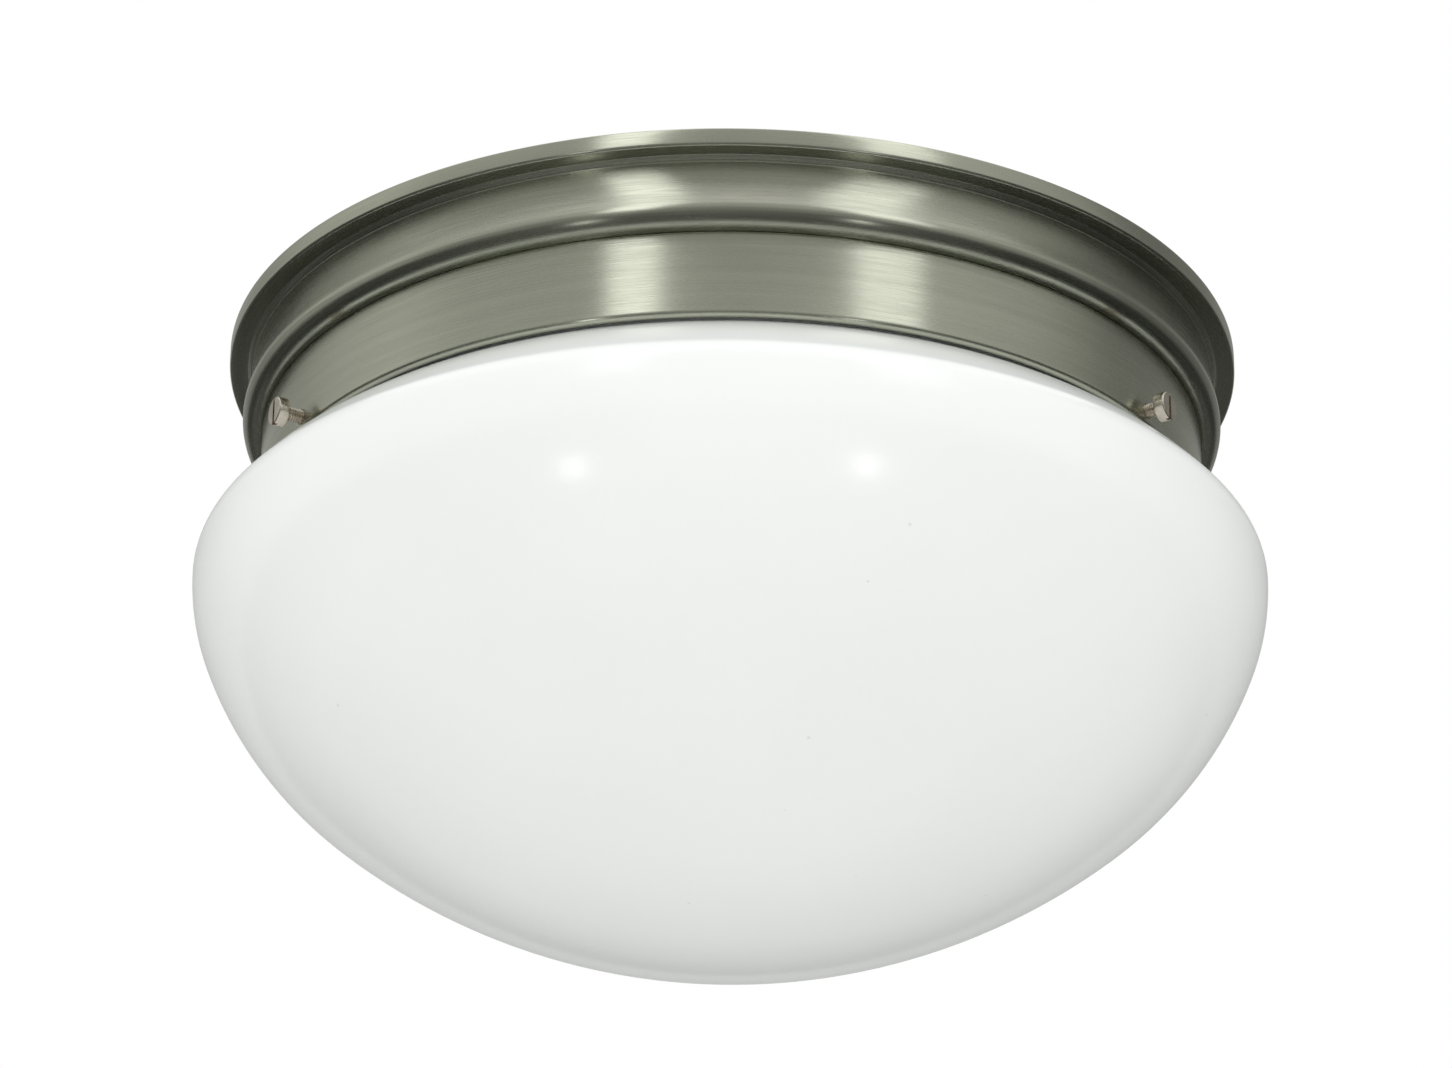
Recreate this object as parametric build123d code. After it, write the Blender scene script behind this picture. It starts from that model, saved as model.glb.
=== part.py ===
from build123d import *

import os
from math import acos, cos, degrees, radians, sin

# Flush mount ceiling light: a stepped spun-metal pan holds an opal glass bowl by three thumbscrews.
# All sizes are millimetres. The origin is on the fixture's axis in the ceiling plane and +Z is up,
# so everything hangs below z = 0. The front, which faces the viewer, is -Y.

# Pan: one spun and pierced steel ring
SHEET = 0.8  # thickness of the spun and stamped sheet
PAN_R = 133.0  # outside of the lower band
PAN_DEPTH = 50.0  # ceiling to the underside of the inturned lip
RIM_OUT = 10.1  # how far the rim stands out beyond the lower band
RIM_DEPTH = 5.0  # ceiling to the underside of the ledge behind the rim
RIM_ROUND = 0.9
UPPER_BAND_TOP_OUT = 3.6  # the upper band flares from this...
UPPER_BAND_FOOT_OUT = 5.5  # ...to this beyond the lower band
LEDGE_BEAD_IN = 5.0  # rim's edge to the small bead at the foot of the ledge
LEDGE_BEAD = 1.1
UPPER_BAND_DEPTH = 19.5  # ceiling to where the upper band starts to turn in
CREASE_DEPTH = 24.9  # ceiling to the crease between the two bands
CREASE_IN = 1.0  # how far the crease lies inside the lower band
BAND_TOP_ROUND = 1.3
PAN_FOOT_ROUND = 1.5
LIP_IN = 2.0  # how far the lip turns in, which sets the mouth of the pan
COLLAR_R = 3.0  # extruded collar round each tapped hole
COLLAR_DEPTH = 2.6  # outside of the band to the collar's inner end
COLLAR_RISE = 4.2  # screw axis above the underside of the lip

# Back plate and what lies on it
PLATE_CLEAR = 0.1  # round the plate's edge, under the rim's hem
PLATE_FLANGE = 10.0  # width of the flange that seats on the ledge
PLATE_DRAFT = 2.0
PLATE_DEPTH = 12.2  # ceiling to the underside of the plate's floor
KEYHOLE_THROAT_R = 2.5
KEYHOLE_HEAD_R = 5.2
KEYHOLE_TWIST = 12.0  # from the throat to the middle of the head's opening
PAD_CLEAR = 1.5
PAD_R_IN = 60.0  # cut-out round the ceiling box
PAD_T = 9.4
PAD_ROUND = 2.0
PAD_POCKET = 0.5  # room that the blanket leaves round each rivet head

# Strap that ties the fixture to the ceiling box
STRAP_LENGTH = 112.0
STRAP_WIDTH = 20.0
STRAP_T = 1.6
STRAP_CENTRE_R = 5.25  # passes a 1/8 inch pipe nipple
BOX_SCREWS_NEAR = 69.85  # the two standard distances between box screws
BOX_SCREWS_FAR = 88.9
BOX_SLOT_R = 2.4
FIXTURE_SCREW_X = 50.8  # from the axis to each screw that carries the pan
GROUND_X = 22.0

# Machine screws and rivets
THREAD_R = 2.0
THREAD_CLEAR = 0.05
HEAD_R = 4.0
HEAD_T = 2.6
HEAD_ROUND = 0.8
SLOT_WIDTH = 1.1
SLOT_DEPTH = 1.1
FIXTURE_SCREW_LENGTH = 12.0
GROUND_SCREW_LENGTH = 2.2
RIVET_R = 1.6
RIVET_HEAD_R = 3.0
RIVET_HEAD_T = 1.1
RIVET_CLEAR = 0.05

# Thumbscrews that hold the glass
THUMB_ANGLES = {"left": -60.0, "right": 60.0, "rear": 180.0}  # from the front, about the axis
THUMB_EXPOSED = {"left": 4.7, "right": 3.4, "rear": 4.0}  # band to head, as they stand at rest
THUMB_LENGTH = 7.6  # under the head, with the tip
THUMB_HEAD_T = 3.4
THUMB_CHAMFER = 0.5
TIP_R = 1.6
TIP_T = 0.8
TIP_PIN_R = 0.8
TIP_PIN_LENGTH = 2.6
TIP_CLEAR = 0.1

# Opal glass bowl
GLASS_OUT = 17.4  # how far the glass swells beyond the lower band
GLASS_WALL = 3.3
NECK_CLEAR = 2.4  # between the glass lip and the pan's mouth
NECK_GROOVE = 3.6  # depth of the groove under the lip
NECK_GAP = 2.3  # shoulder's start above the underside of the pan
GROOVE_HEIGHT = 5.0
LIP_HEIGHT = 5.4
LIP_ROUND = 1.8
SHOULDER_SLOPE = 24.4  # degrees below level where the shoulder leaves the neck
EDGE_ROUND, EDGE_TURN = 9.0, 40.8  # radius in mm and turn in degrees of each arc, downwards
SIDE_ROUND, SIDE_TURN = 52.2, 20.4
FLANK_ROUND, FLANK_TURN = 97.8, 29.3

# Lampholders: two, side by side and facing opposite ways
SOCKET_Y = 37.0
SOCKET_DEPTH = 50.0  # ceiling to the lamp's axis
SOCKET_BACK = 60.0  # from the axis of the fixture to the back of the lampholder
SOCKET_R = 18.0
SOCKET_TAPER = 1.0
SOCKET_BACK_WALL = 11.0
SOCKET_CAVITY = 27.0
SOCKET_BORE_R = 14.2
SCREW_SHELL_T = 0.45
SCREW_SHELL_LENGTH = 23.0
SCREW_SHELL_GAP = 0.3
CONTACT_WIDTH = 6.0
CONTACT_T = 0.5
CONTACT_RISE = 4.0
LEAD_HOLE_OFFSET = 13.0
LEAD_HOLE_DEPTH = 6.0
BRACKET_T = 1.2
BRACKET_WIDTH = 20.0
BRACKET_FOOT = 20.0
BRACKET_BEND = 2.0
BRACKET_DROP = 10.0  # how far the leg runs below the lamp's axis
BRACKET_RIVETS = (7.0, 15.0)  # from the leg, along the foot
SOCKET_SCREW_R = 1.5
SOCKET_SCREW_SPACING = 13.0
SOCKET_SCREW_LENGTH = 7.0
SOCKET_SCREW_HEAD_R = 2.8
SOCKET_SCREW_HEAD_T = 1.8

# Lamps: medium screw base, 60 mm pear-shaped envelope
LAMP_LENGTH = 110.0
LAMP_R = 30.0
LAMP_NECK_R = 12.5
LAMP_NECK_START = 19.0  # from the tip of the base, inside the metal
LAMP_NECK_END = 30.0
LAMP_WALL = 0.8
BASE_R = 13.1
BASE_T = 0.4
BASE_START = 5.0
BASE_END = 27.0
BASE_TAPER = 4.0
EYELET_R = 4.8
EYELET_T = 1.6
INSULATOR_R = 8.4
INSULATOR_CLEAR = 0.1
INSULATOR_SPIGOT = 1.0  # how far it stands inside the base
SEAT_GAP = 0.3  # lamp's tip to the lampholder's contact

# Wiring
LEAD_R = 1.2
LEAD_HOLE_CLEAR = 0.3
BUSHING_R = 7.2
BUSHING_HOLE_R = 11.1
BUSHING_FLANGE_R = 13.2
BUSHING_FLANGE_T = 1.2
BUSHING_BARB = 0.7
BUSHING_BARB_T = 1.5
NUT_START = 21.0
NUT_LENGTH = 17.0
NUT_MOUTH_R, NUT_TIP_R = 5.0, 3.6
NUT_CAVITY_R, NUT_CAVITY_TIP_R, NUT_CAVITY = 4.1, 2.9, 14.0
NUT_CLEAR = 0.6  # over the back plate
GROUND_WIRE_R = 1.0
LUG_R, LUG_T, LUG_BARREL_R, LUG_BARREL = 3.8, 0.8, 1.7, 6.0
GROUND_RIVET = (24.0, 47.0)  # where the ground lead meets the back plate
# Sizes that follow from those above
RIM_R = PAN_R + RIM_OUT
MOUTH_R = PAN_R - LIP_IN
BORE_R = THREAD_R + THREAD_CLEAR
THUMB_Z = COLLAR_RISE - PAN_DEPTH
PLATE_TOP = SHEET - PLATE_DEPTH
NUT_Z = PLATE_TOP + NUT_CLEAR + NUT_MOUTH_R
FLANGE_TOP = 2 * SHEET - RIM_DEPTH
PLATE_FLOOR_R = RIM_R - SHEET - PLATE_FLANGE - PLATE_DRAFT
LIP_R = MOUTH_R - NECK_CLEAR
GROOVE_R = LIP_R - NECK_GROOVE
GLASS_R = PAN_R + GLASS_OUT
SHOULDER_Z = NECK_GAP - PAN_DEPTH
LIP_TOP = SHOULDER_Z + GROOVE_HEIGHT + LIP_HEIGHT
SOCKET_FLOOR = SOCKET_BACK_WALL - SOCKET_BACK
LAMP_TIP = SOCKET_FLOOR + CONTACT_RISE + SEAT_GAP
BOX_SLOT_X = (BOX_SCREWS_NEAR + BOX_SCREWS_FAR) / 4
BOX_SLOT_LENGTH = (BOX_SCREWS_FAR - BOX_SCREWS_NEAR) / 2

# Routes of one lampholder's two leads, chosen by hand; the other lampholder has them half a turn round
INNER_LEAD = [
    (-54.5, 24, -50), (-64.5, 24, -50), (-70.5, 22.5, -42), (-69, 19, -26), (-60, 15.5, -16.5),
    (-44, 9.5, -15.4), (-26, 1, -15.3), (-14, -3, -15.4), (-3.3, -3, -15.2), (-3.3, -3.4, NUT_Z),
    (-1.7, -14, NUT_Z + 0.1), (-1.4, -24, NUT_Z), (-1.4, -33, NUT_Z),
]
OUTER_LEAD = [
    (-54.5, 50, -50), (-64, 50, -50), (-69.5, 51.5, -42), (-66, 54, -27), (-56, 51, -16.4),
    (-42, 40, -15.4), (-29, 26, -15.3), (-16, 9, -15.4), (-3.6, 2.6, -15.2), (-3.3, 3.4, NUT_Z),
    (-1.7, 14, NUT_Z + 0.1), (-1.4, 24, NUT_Z), (-1.4, 33, NUT_Z),
]
GROUND_ROUTE = [
    (22, 8, -STRAP_T - LUG_BARREL_R), (22, 15, -STRAP_T - LUG_BARREL_R), (22.6, 24, -6),
    (24, 33, PLATE_TOP + LUG_BARREL_R), (24, 39.5, PLATE_TOP + LUG_BARREL_R),
]


def turned(*lines):
    """Solid of revolution about the fixture's axis; an outline's points are radius and height."""
    edges = [edge for line in lines for edge in line.edges()]
    return revolve(Plane.XZ * make_face(edges), Axis.Z)


def rod(radius, low, high, x=0.0, y=0.0):
    """Upright cylinder between two heights."""
    return Pos(x, y, low) * Cylinder(radius, high - low, align=(Align.CENTER, Align.CENTER, Align.MIN))


def along_lamp(depth):
    """Place on the lamp's axis, facing out of the lampholder, this far along X from the fixture's axis."""
    return Plane((depth, SOCKET_Y, -SOCKET_DEPTH), x_dir=(0, 1, 0), z_dir=(1, 0, 0))


def radial(angle, radius):
    """Place at a thumbscrew's height and this radius, facing straight out of the pan."""
    out = (sin(radians(angle)), -cos(radians(angle)), 0)
    return Plane((out[0] * radius, out[1] * radius, THUMB_Z), x_dir=(0, 0, 1), z_dir=out)


# ---- Pan, back plate and ceiling strap ----


def pan_ring():
    """Spun ring: hemmed rim, ledge, flared upper band, bullnose, lower band and inturned lip."""
    band_top = PAN_R + UPPER_BAND_TOP_OUT
    band_foot = PAN_R + UPPER_BAND_FOOT_OUT
    bead = RIM_R - LEDGE_BEAD_IN
    crease = (PAN_R - CREASE_IN, -CREASE_DEPTH)
    top = -CREASE_DEPTH - BAND_TOP_ROUND
    rim = Line((RIM_R, 0), (RIM_R, RIM_ROUND - RIM_DEPTH))
    rim_edge = TangentArc(rim @ 1, (RIM_R - RIM_ROUND, -RIM_DEPTH), tangent=(0, -1))
    ledge = Polyline(
        rim_edge @ 1,
        (bead, -RIM_DEPTH),
        (bead - LEDGE_BEAD, -RIM_DEPTH - LEDGE_BEAD),
        (band_top, -RIM_DEPTH - LEDGE_BEAD),
    )
    flare = TangentArc(ledge @ 1, (band_foot, -UPPER_BAND_DEPTH), tangent=(0, -1))
    bullnose = TangentArc(flare @ 1, crease, tangent=flare % 1)
    band_round = TangentArc(crease, (PAN_R, top), tangent=(1, 0))
    band = Line(band_round @ 1, (PAN_R, PAN_FOOT_ROUND - PAN_DEPTH))
    foot = TangentArc(band @ 1, (PAN_R - PAN_FOOT_ROUND, -PAN_DEPTH), tangent=(0, -1))
    inner_foot = PAN_FOOT_ROUND - SHEET
    lip = Polyline(
        foot @ 1,
        (MOUTH_R, -PAN_DEPTH),
        (MOUTH_R, SHEET - PAN_DEPTH),
        (PAN_R - SHEET - inner_foot, SHEET - PAN_DEPTH),
        (PAN_R - SHEET, SHEET + inner_foot - PAN_DEPTH),
        (PAN_R - SHEET, top),
        (PAN_R - SHEET - CREASE_IN, top + SHEET),
        (PAN_R - SHEET - CREASE_IN, SHEET - CREASE_DEPTH),
        (PAN_R - CREASE_IN, SHEET - CREASE_DEPTH),
    )
    inner_flare = flare.moved(Location((-SHEET, 0)))
    inner_bullnose = TangentArc(inner_flare @ 1, lip @ 1, tangent=flare % 1)
    inside = Polyline(
        inner_flare @ 0,
        (bead - LEDGE_BEAD, SHEET - RIM_DEPTH),
        (RIM_R - SHEET, SHEET - RIM_DEPTH),
        (RIM_R - SHEET, FLANGE_TOP),
        (RIM_R - 2 * SHEET, FLANGE_TOP),
        (RIM_R - 2 * SHEET, 0),
        (RIM_R, 0),
    )
    outer = (rim, rim_edge, ledge, flare, bullnose, band_round, band, foot)
    ring = turned(*outer, lip, inner_bullnose, inner_flare, inside)
    inward = (Align.CENTER, Align.CENTER, Align.MAX)
    for angle in THUMB_ANGLES.values():
        ring += radial(angle, PAN_R - SHEET / 2) * Cylinder(COLLAR_R, COLLAR_DEPTH - SHEET / 2, align=inward)
    for angle in THUMB_ANGLES.values():
        ring -= radial(angle, PAN_R) * Cylinder(BORE_R, 3 * COLLAR_DEPTH)
    return ring


def plate_outline(offset):
    """Upper or lower side of the back plate, from the flange's edge to the wire hole."""
    flange = -RIM_DEPTH + SHEET + offset
    return [
        (RIM_R - SHEET - PLATE_CLEAR, flange),
        (PLATE_FLOOR_R + PLATE_DRAFT - offset, flange),
        (PLATE_FLOOR_R - offset, offset - PLATE_DEPTH),
        (BUSHING_HOLE_R, offset - PLATE_DEPTH),
    ]


def back_plate():
    """Stamped plate, trapped by the rim's hem, with keyholes, a wire hole and rivet holes."""
    plate = turned(Polyline(*plate_outline(0), *reversed(plate_outline(SHEET)), close=True))
    cutter = Part()
    for x, twist in ((FIXTURE_SCREW_X, KEYHOLE_TWIST), (-FIXTURE_SCREW_X, -KEYHOLE_TWIST)):
        throat = Pos(x, twist / 2, -PLATE_DEPTH) * Box(2 * KEYHOLE_THROAT_R, abs(twist), PLATE_DEPTH)
        cutter += throat + rod(KEYHOLE_THROAT_R, -2 * PLATE_DEPTH, 0, x)
        cutter += rod(KEYHOLE_HEAD_R, -2 * PLATE_DEPTH, 0, x, twist)
    for x, y in bracket_rivet_places() + [GROUND_RIVET]:
        cutter += rod(RIVET_R + RIVET_CLEAR, -2 * PLATE_DEPTH, 0, x, y)
    return plate - cutter


def insulation_pad():
    """Round blanket that lies on the back plate, cut out round the ceiling box."""
    outer = PLATE_FLOOR_R - SHEET - PAD_CLEAR
    low, high = PLATE_TOP, PLATE_TOP + PAD_T
    pad = rod(outer, low, high) - rod(PAD_R_IN, low, high)
    pad = fillet(pad.edges().group_by(Axis.Z)[-1], PAD_ROUND)
    for x, y in bracket_rivet_places():
        pad -= rod(RIVET_HEAD_R + PAD_POCKET, low, low + RIVET_HEAD_T + PAD_POCKET, x, y)
    return pad


def mounting_strap():
    """Flat steel strap with slots for the ceiling box and tapped holes for the fixture."""
    strap = Pos(0, 0, -STRAP_T / 2) * extrude(SlotOverall(STRAP_LENGTH, STRAP_WIDTH), STRAP_T / 2, both=True)
    strap -= rod(STRAP_CENTRE_R, -2 * STRAP_T, STRAP_T)
    strap -= rod(BORE_R, -2 * STRAP_T, STRAP_T, GROUND_X)
    for side in (-1, 1):
        slot = SlotCenterToCenter(BOX_SLOT_LENGTH, 2 * BOX_SLOT_R)
        strap -= Pos(side * BOX_SLOT_X, 0, 0) * extrude(slot, 2 * STRAP_T, both=True)
        strap -= rod(BORE_R, -2 * STRAP_T, STRAP_T, side * FIXTURE_SCREW_X)
    return strap


# ---- Screws and rivets ----


def machine_screw(length, radius=THREAD_R, head_r=HEAD_R, head_t=HEAD_T):
    """Slotted pan head below z = 0 and plain shank above it; the thread's cut is left out."""
    head = rod(head_r, -head_t, 0)
    head = fillet(head.edges().group_by(Axis.Z)[0], min(HEAD_ROUND, head_t / 3))
    head -= Pos(0, 0, -head_t) * Box(3 * head_r, SLOT_WIDTH, SLOT_DEPTH)
    shank = rod(radius, 0, length)
    return head + chamfer(shank.edges().group_by(Axis.Z)[-1], radius / 5)


def rivet(top, bottom):
    """Rivet with a low head at each end of its grip."""
    heads = rod(RIVET_HEAD_R, top, top + RIVET_HEAD_T) + rod(RIVET_HEAD_R, bottom - RIVET_HEAD_T, bottom)
    heads = chamfer(heads.edges().group_by(Axis.Z)[-1] + heads.edges().group_by(Axis.Z)[0], RIVET_HEAD_T / 2)
    return heads + rod(RIVET_R, bottom, top)


def fixture_screws():
    """The two screws that hang the back plate on the strap, heads below the plate."""
    screw = Pos(0, 0, -PLATE_DEPTH) * machine_screw(FIXTURE_SCREW_LENGTH)
    return [Pos(side * FIXTURE_SCREW_X, 0, 0) * screw for side in (-1, 1)]


def ground_screw():
    """Green screw that clamps the ground lug up against the strap."""
    return Pos(GROUND_X, 0, -STRAP_T - LUG_T) * machine_screw(GROUND_SCREW_LENGTH)


def bracket_rivet_places():
    """Where the rivets of both lampholder brackets pass the back plate."""
    places = [(-SOCKET_BACK - BRACKET_T - along, SOCKET_Y) for along in BRACKET_RIVETS]
    return places + [(-x, -y) for x, y in places]


def bracket_rivets():
    """Four rivets through the bracket feet and the back plate."""
    one = rivet(PLATE_TOP, -PLATE_DEPTH - BRACKET_T)
    return [Pos(x, y, 0) * one for x, y in bracket_rivet_places()]


def socket_screws():
    """Two screws through a bracket's leg into the back of its lampholder."""
    screw = machine_screw(SOCKET_SCREW_LENGTH, SOCKET_SCREW_R, SOCKET_SCREW_HEAD_R, SOCKET_SCREW_HEAD_T)
    back = along_lamp(-SOCKET_BACK - BRACKET_T)
    return [back * Pos(0, side * SOCKET_SCREW_SPACING / 2, 0) * screw for side in (-1, 1)]


# ---- Thumbscrews and their glass-saving tips ----


def thumbscrew(angle, exposed):
    """Thumbscrew with its head out of the pan; its shank is bored for the tip's pin."""
    shank = THUMB_LENGTH - TIP_T - TIP_CLEAR
    head = chamfer(rod(HEAD_R, 0, THUMB_HEAD_T).edges().filter_by(GeomType.CIRCLE), THUMB_CHAMFER)
    head -= Pos(0, 0, THUMB_HEAD_T) * Box(3 * HEAD_R, SLOT_WIDTH, 2 * SLOT_DEPTH)
    body = head + rod(THREAD_R, -shank, 0)
    body -= rod(TIP_PIN_R + TIP_CLEAR, -shank, TIP_PIN_LENGTH + TIP_CLEAR - shank)
    return radial(angle, PAN_R + exposed) * body


def thumbscrew_tip(angle, exposed):
    """Nylon button and pin that touch the glass; the screw turns on the pin."""
    body = rod(TIP_R, -THUMB_LENGTH, TIP_T - THUMB_LENGTH)
    body += rod(TIP_PIN_R, TIP_T - THUMB_LENGTH, TIP_T - THUMB_LENGTH + TIP_PIN_LENGTH)
    return radial(angle, PAN_R + exposed) * body


# ---- Glass ----


def bowl_side(inset):
    """Outer side of the bowl, or its parallel inner side, as tangent arcs from the neck to the axis."""
    slope = radians(SHOULDER_SLOPE)
    swell = GLASS_R - GROOVE_R - EDGE_ROUND * (1 - cos(radians(EDGE_TURN)))
    shoulder_round = swell / (cos(radians(EDGE_TURN)) - sin(slope))
    start = (GROOVE_R - inset * sin(slope), SHOULDER_Z - inset * cos(slope))
    shoulder_turn = 90 - EDGE_TURN - SHOULDER_SLOPE
    arcs = [JernArc(start, (cos(slope), -sin(slope)), shoulder_round - inset, -shoulder_turn)]
    for radius, turn in ((EDGE_ROUND, EDGE_TURN), (SIDE_ROUND, SIDE_TURN), (FLANK_ROUND, FLANK_TURN)):
        arcs.append(JernArc(arcs[-1] @ 1, arcs[-1] % 1, radius - inset, -turn))
    left = 90 - SIDE_TURN - FLANK_TURN
    arcs.append(JernArc(arcs[-1] @ 1, arcs[-1] % 1, (arcs[-1] @ 1).X / sin(radians(left)), -left))
    return arcs


def glass_shade():
    """Blown bowl with a rolled lip, and a groove under the lip that the thumbscrews enter."""
    outer, inner = bowl_side(0), bowl_side(GLASS_WALL)
    bore = GROOVE_R - GLASS_WALL
    lip_foot = LIP_TOP - LIP_HEIGHT
    top = Line((bore, LIP_TOP), (LIP_R - LIP_ROUND, LIP_TOP))
    round_top = TangentArc(top @ 1, (LIP_R, LIP_TOP - LIP_ROUND), tangent=(1, 0))
    side = Line(round_top @ 1, (LIP_R, lip_foot + LIP_ROUND))
    round_foot = TangentArc(side @ 1, (LIP_R - LIP_ROUND, lip_foot), tangent=(0, -1))
    groove = Polyline(round_foot @ 1, (GROOVE_R, lip_foot), outer[0] @ 0)
    pole = Line(outer[-1] @ 1, inner[-1] @ 1)
    # the inner side starts where its shoulder arc passes the bore
    meet = inner[0] @ 0
    throat = Polyline((bore, LIP_TOP), (bore, meet.Y + (meet.X - bore) * sin(radians(SHOULDER_SLOPE))), meet)
    return turned(top, round_top, side, round_foot, groove, *outer, pole, *inner, throat)


# ---- Lampholders ----


def socket_body():
    """Porcelain lampholder: a tapered cup with lead holes and screw holes in its back."""
    length = SOCKET_BACK_WALL + SOCKET_CAVITY
    body = Cone(SOCKET_R - SOCKET_TAPER, SOCKET_R, length, align=(Align.CENTER, Align.CENTER, Align.MIN))
    body = fillet(body.edges().filter_by(GeomType.CIRCLE), SOCKET_TAPER)
    body -= rod(SOCKET_BORE_R, SOCKET_BACK_WALL, 2 * length)
    for side in (-1, 1):
        body -= rod(LEAD_R + LEAD_HOLE_CLEAR, 0, LEAD_HOLE_DEPTH, side * LEAD_HOLE_OFFSET)
        screw_y = side * SOCKET_SCREW_SPACING / 2
        body -= rod(SOCKET_SCREW_R + THREAD_CLEAR, 0, SOCKET_SCREW_LENGTH, 0, screw_y)
    return along_lamp(-SOCKET_BACK) * body


def screw_shell():
    """Threaded metal liner of the lampholder, modelled at its clear bore."""
    outer = SOCKET_BORE_R - SCREW_SHELL_GAP
    shell = rod(outer, 0, SCREW_SHELL_LENGTH) - rod(outer - SCREW_SHELL_T, SCREW_SHELL_T, SCREW_SHELL_LENGTH)
    return along_lamp(SOCKET_FLOOR) * (shell - rod(INSULATOR_R, 0, SCREW_SHELL_T))


def centre_contact():
    """Brass leaf folded up from the lampholder's floor to meet the lamp's tip."""
    half = CONTACT_T / 2
    reach = CONTACT_WIDTH
    leaf = FilletPolyline(
        (-reach, half), (reach, half), (reach, CONTACT_RISE - 1.5), (0, CONTACT_RISE - half), radius=0.7
    )
    strip = extrude(Plane.XZ * trace(leaf, CONTACT_T), CONTACT_WIDTH / 2, both=True)
    return along_lamp(SOCKET_FLOOR) * strip


def socket_bracket():
    """Folded steel strip: a foot riveted under the back plate and a leg behind the lampholder."""
    foot_z = -PLATE_DEPTH - BRACKET_T / 2
    leg_x = -SOCKET_BACK - BRACKET_T / 2
    path = FilletPolyline(
        (leg_x - BRACKET_FOOT, foot_z),
        (leg_x, foot_z),
        (leg_x, -SOCKET_DEPTH - BRACKET_DROP),
        radius=BRACKET_BEND,
    )
    strip = Pos(0, SOCKET_Y, 0) * extrude(Plane.XZ * trace(path, BRACKET_T), BRACKET_WIDTH / 2, both=True)
    holes = [along_lamp(-SOCKET_BACK) * Pos(0, side * SOCKET_SCREW_SPACING / 2, 0) for side in (-1, 1)]
    for place in holes:
        strip -= place * Cylinder(SOCKET_SCREW_R + THREAD_CLEAR, 4 * BRACKET_T)
    for x, y in bracket_rivet_places()[: len(BRACKET_RIVETS)]:
        strip -= rod(RIVET_R + RIVET_CLEAR, -2 * PLATE_DEPTH, 0, x, y)
    return strip


# ---- Lamps ----


def lamp_side(inset):
    """Lines of the envelope's outer or inner side, radius against length from the tip of the base."""
    globe = LAMP_LENGTH - LAMP_R
    rise = globe - LAMP_NECK_END
    hollow = (rise**2 + LAMP_NECK_R**2 - LAMP_R**2) / (2 * (LAMP_R - LAMP_NECK_R))
    turn = degrees(acos((LAMP_NECK_R + hollow) / (LAMP_R + hollow)))
    neck = Line((LAMP_NECK_R - inset, LAMP_NECK_START), (LAMP_NECK_R - inset, LAMP_NECK_END))
    flank = JernArc(neck @ 1, (0, 1), hollow + inset, -turn)
    dome = JernArc(flank @ 1, flank % 1, LAMP_R - inset, 90 + turn)
    return [neck, flank, dome]


def lamp_envelope():
    """Thin glass pear with its neck open inside the base."""
    outer, inner = lamp_side(0), lamp_side(LAMP_WALL)
    ends = [Line(outer[0] @ 0, inner[0] @ 0), Line(outer[-1] @ 1, inner[-1] @ 1)]
    return along_lamp(LAMP_TIP) * turned(*outer, *inner, *ends)


def lamp_base():
    """Thin metal screw base, modelled at the diameter of its thread's crest."""
    outside = [
        (INSULATOR_R + BASE_T, BASE_START - BASE_T),
        (BASE_R, BASE_START + BASE_TAPER - BASE_T),
        (BASE_R, BASE_END),
    ]
    inside = [(r - BASE_T, z + BASE_T * (z < BASE_END)) for r, z in outside]
    return along_lamp(LAMP_TIP) * turned(Polyline(*outside, *reversed(inside), close=True))


def lamp_insulator():
    """Black glass cone between the base and the eyelet."""
    low, high = EYELET_T, BASE_START - BASE_T
    wide = INSULATOR_R - INSULATOR_CLEAR
    top = high + INSULATOR_SPIGOT
    cone = Polyline((0, low), (EYELET_R, low), (wide, high), (wide, top), (0, top), close=True)
    return along_lamp(LAMP_TIP) * turned(cone)


def lamp_eyelet():
    """Brass contact at the lamp's tip."""
    button = rod(EYELET_R, 0, EYELET_T)
    return along_lamp(LAMP_TIP) * fillet(button.edges().group_by(Axis.Z)[0], EYELET_T / 2)


# ---- Wiring ----


def wire_bushing():
    """Snap bushing in the plate's wire hole: flange below, barbs above."""
    low, high = -PLATE_DEPTH, PLATE_TOP
    body = rod(BUSHING_HOLE_R - RIVET_CLEAR, low, high + BUSHING_BARB_T)
    flange = rod(BUSHING_FLANGE_R, low - BUSHING_FLANGE_T, low)
    flange = fillet(flange.edges().group_by(Axis.Z)[0], BUSHING_FLANGE_T / 2)
    barb_r = BUSHING_HOLE_R + BUSHING_BARB
    barb = Cone(barb_r, BUSHING_HOLE_R, BUSHING_BARB_T, align=(Align.CENTER, Align.CENTER, Align.MIN))
    return body + flange + Pos(0, 0, high) * barb - rod(BUSHING_R, 2 * low, 0)


def wire(route, radius):
    """Tube along a route, with the widest bends its runs allow, and the tightest bend's radius."""
    points = [Vector(*p) for p in route]
    radii = []
    for before, here, after in zip(points, points[1:], points[2:]):
        run = min((here - before).length, (after - here).length)
        half_turn = radians((here - before).get_angle(after - here)) / 2
        radii.append(0.45 * run * cos(half_turn) / sin(half_turn))
    path = FilletPolyline(*points, radius=radii)
    start = Plane(path @ 0, z_dir=path % 0)
    return sweep(start * Circle(radius), path=path)


def wire_nut(side):
    """Twist-on connector over the ends of two leads, on its side above the back plate."""
    nut = Cone(NUT_MOUTH_R, NUT_TIP_R, NUT_LENGTH, align=(Align.CENTER, Align.CENTER, Align.MIN))
    nut = fillet(nut.edges().group_by(Axis.Z)[-1], NUT_TIP_R / 3)
    nut -= Cone(NUT_CAVITY_R, NUT_CAVITY_TIP_R, NUT_CAVITY, align=(Align.CENTER, Align.CENTER, Align.MIN))
    return Plane((0, side * NUT_START, NUT_Z), x_dir=(1, 0, 0), z_dir=(0, side, 0)) * nut


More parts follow.
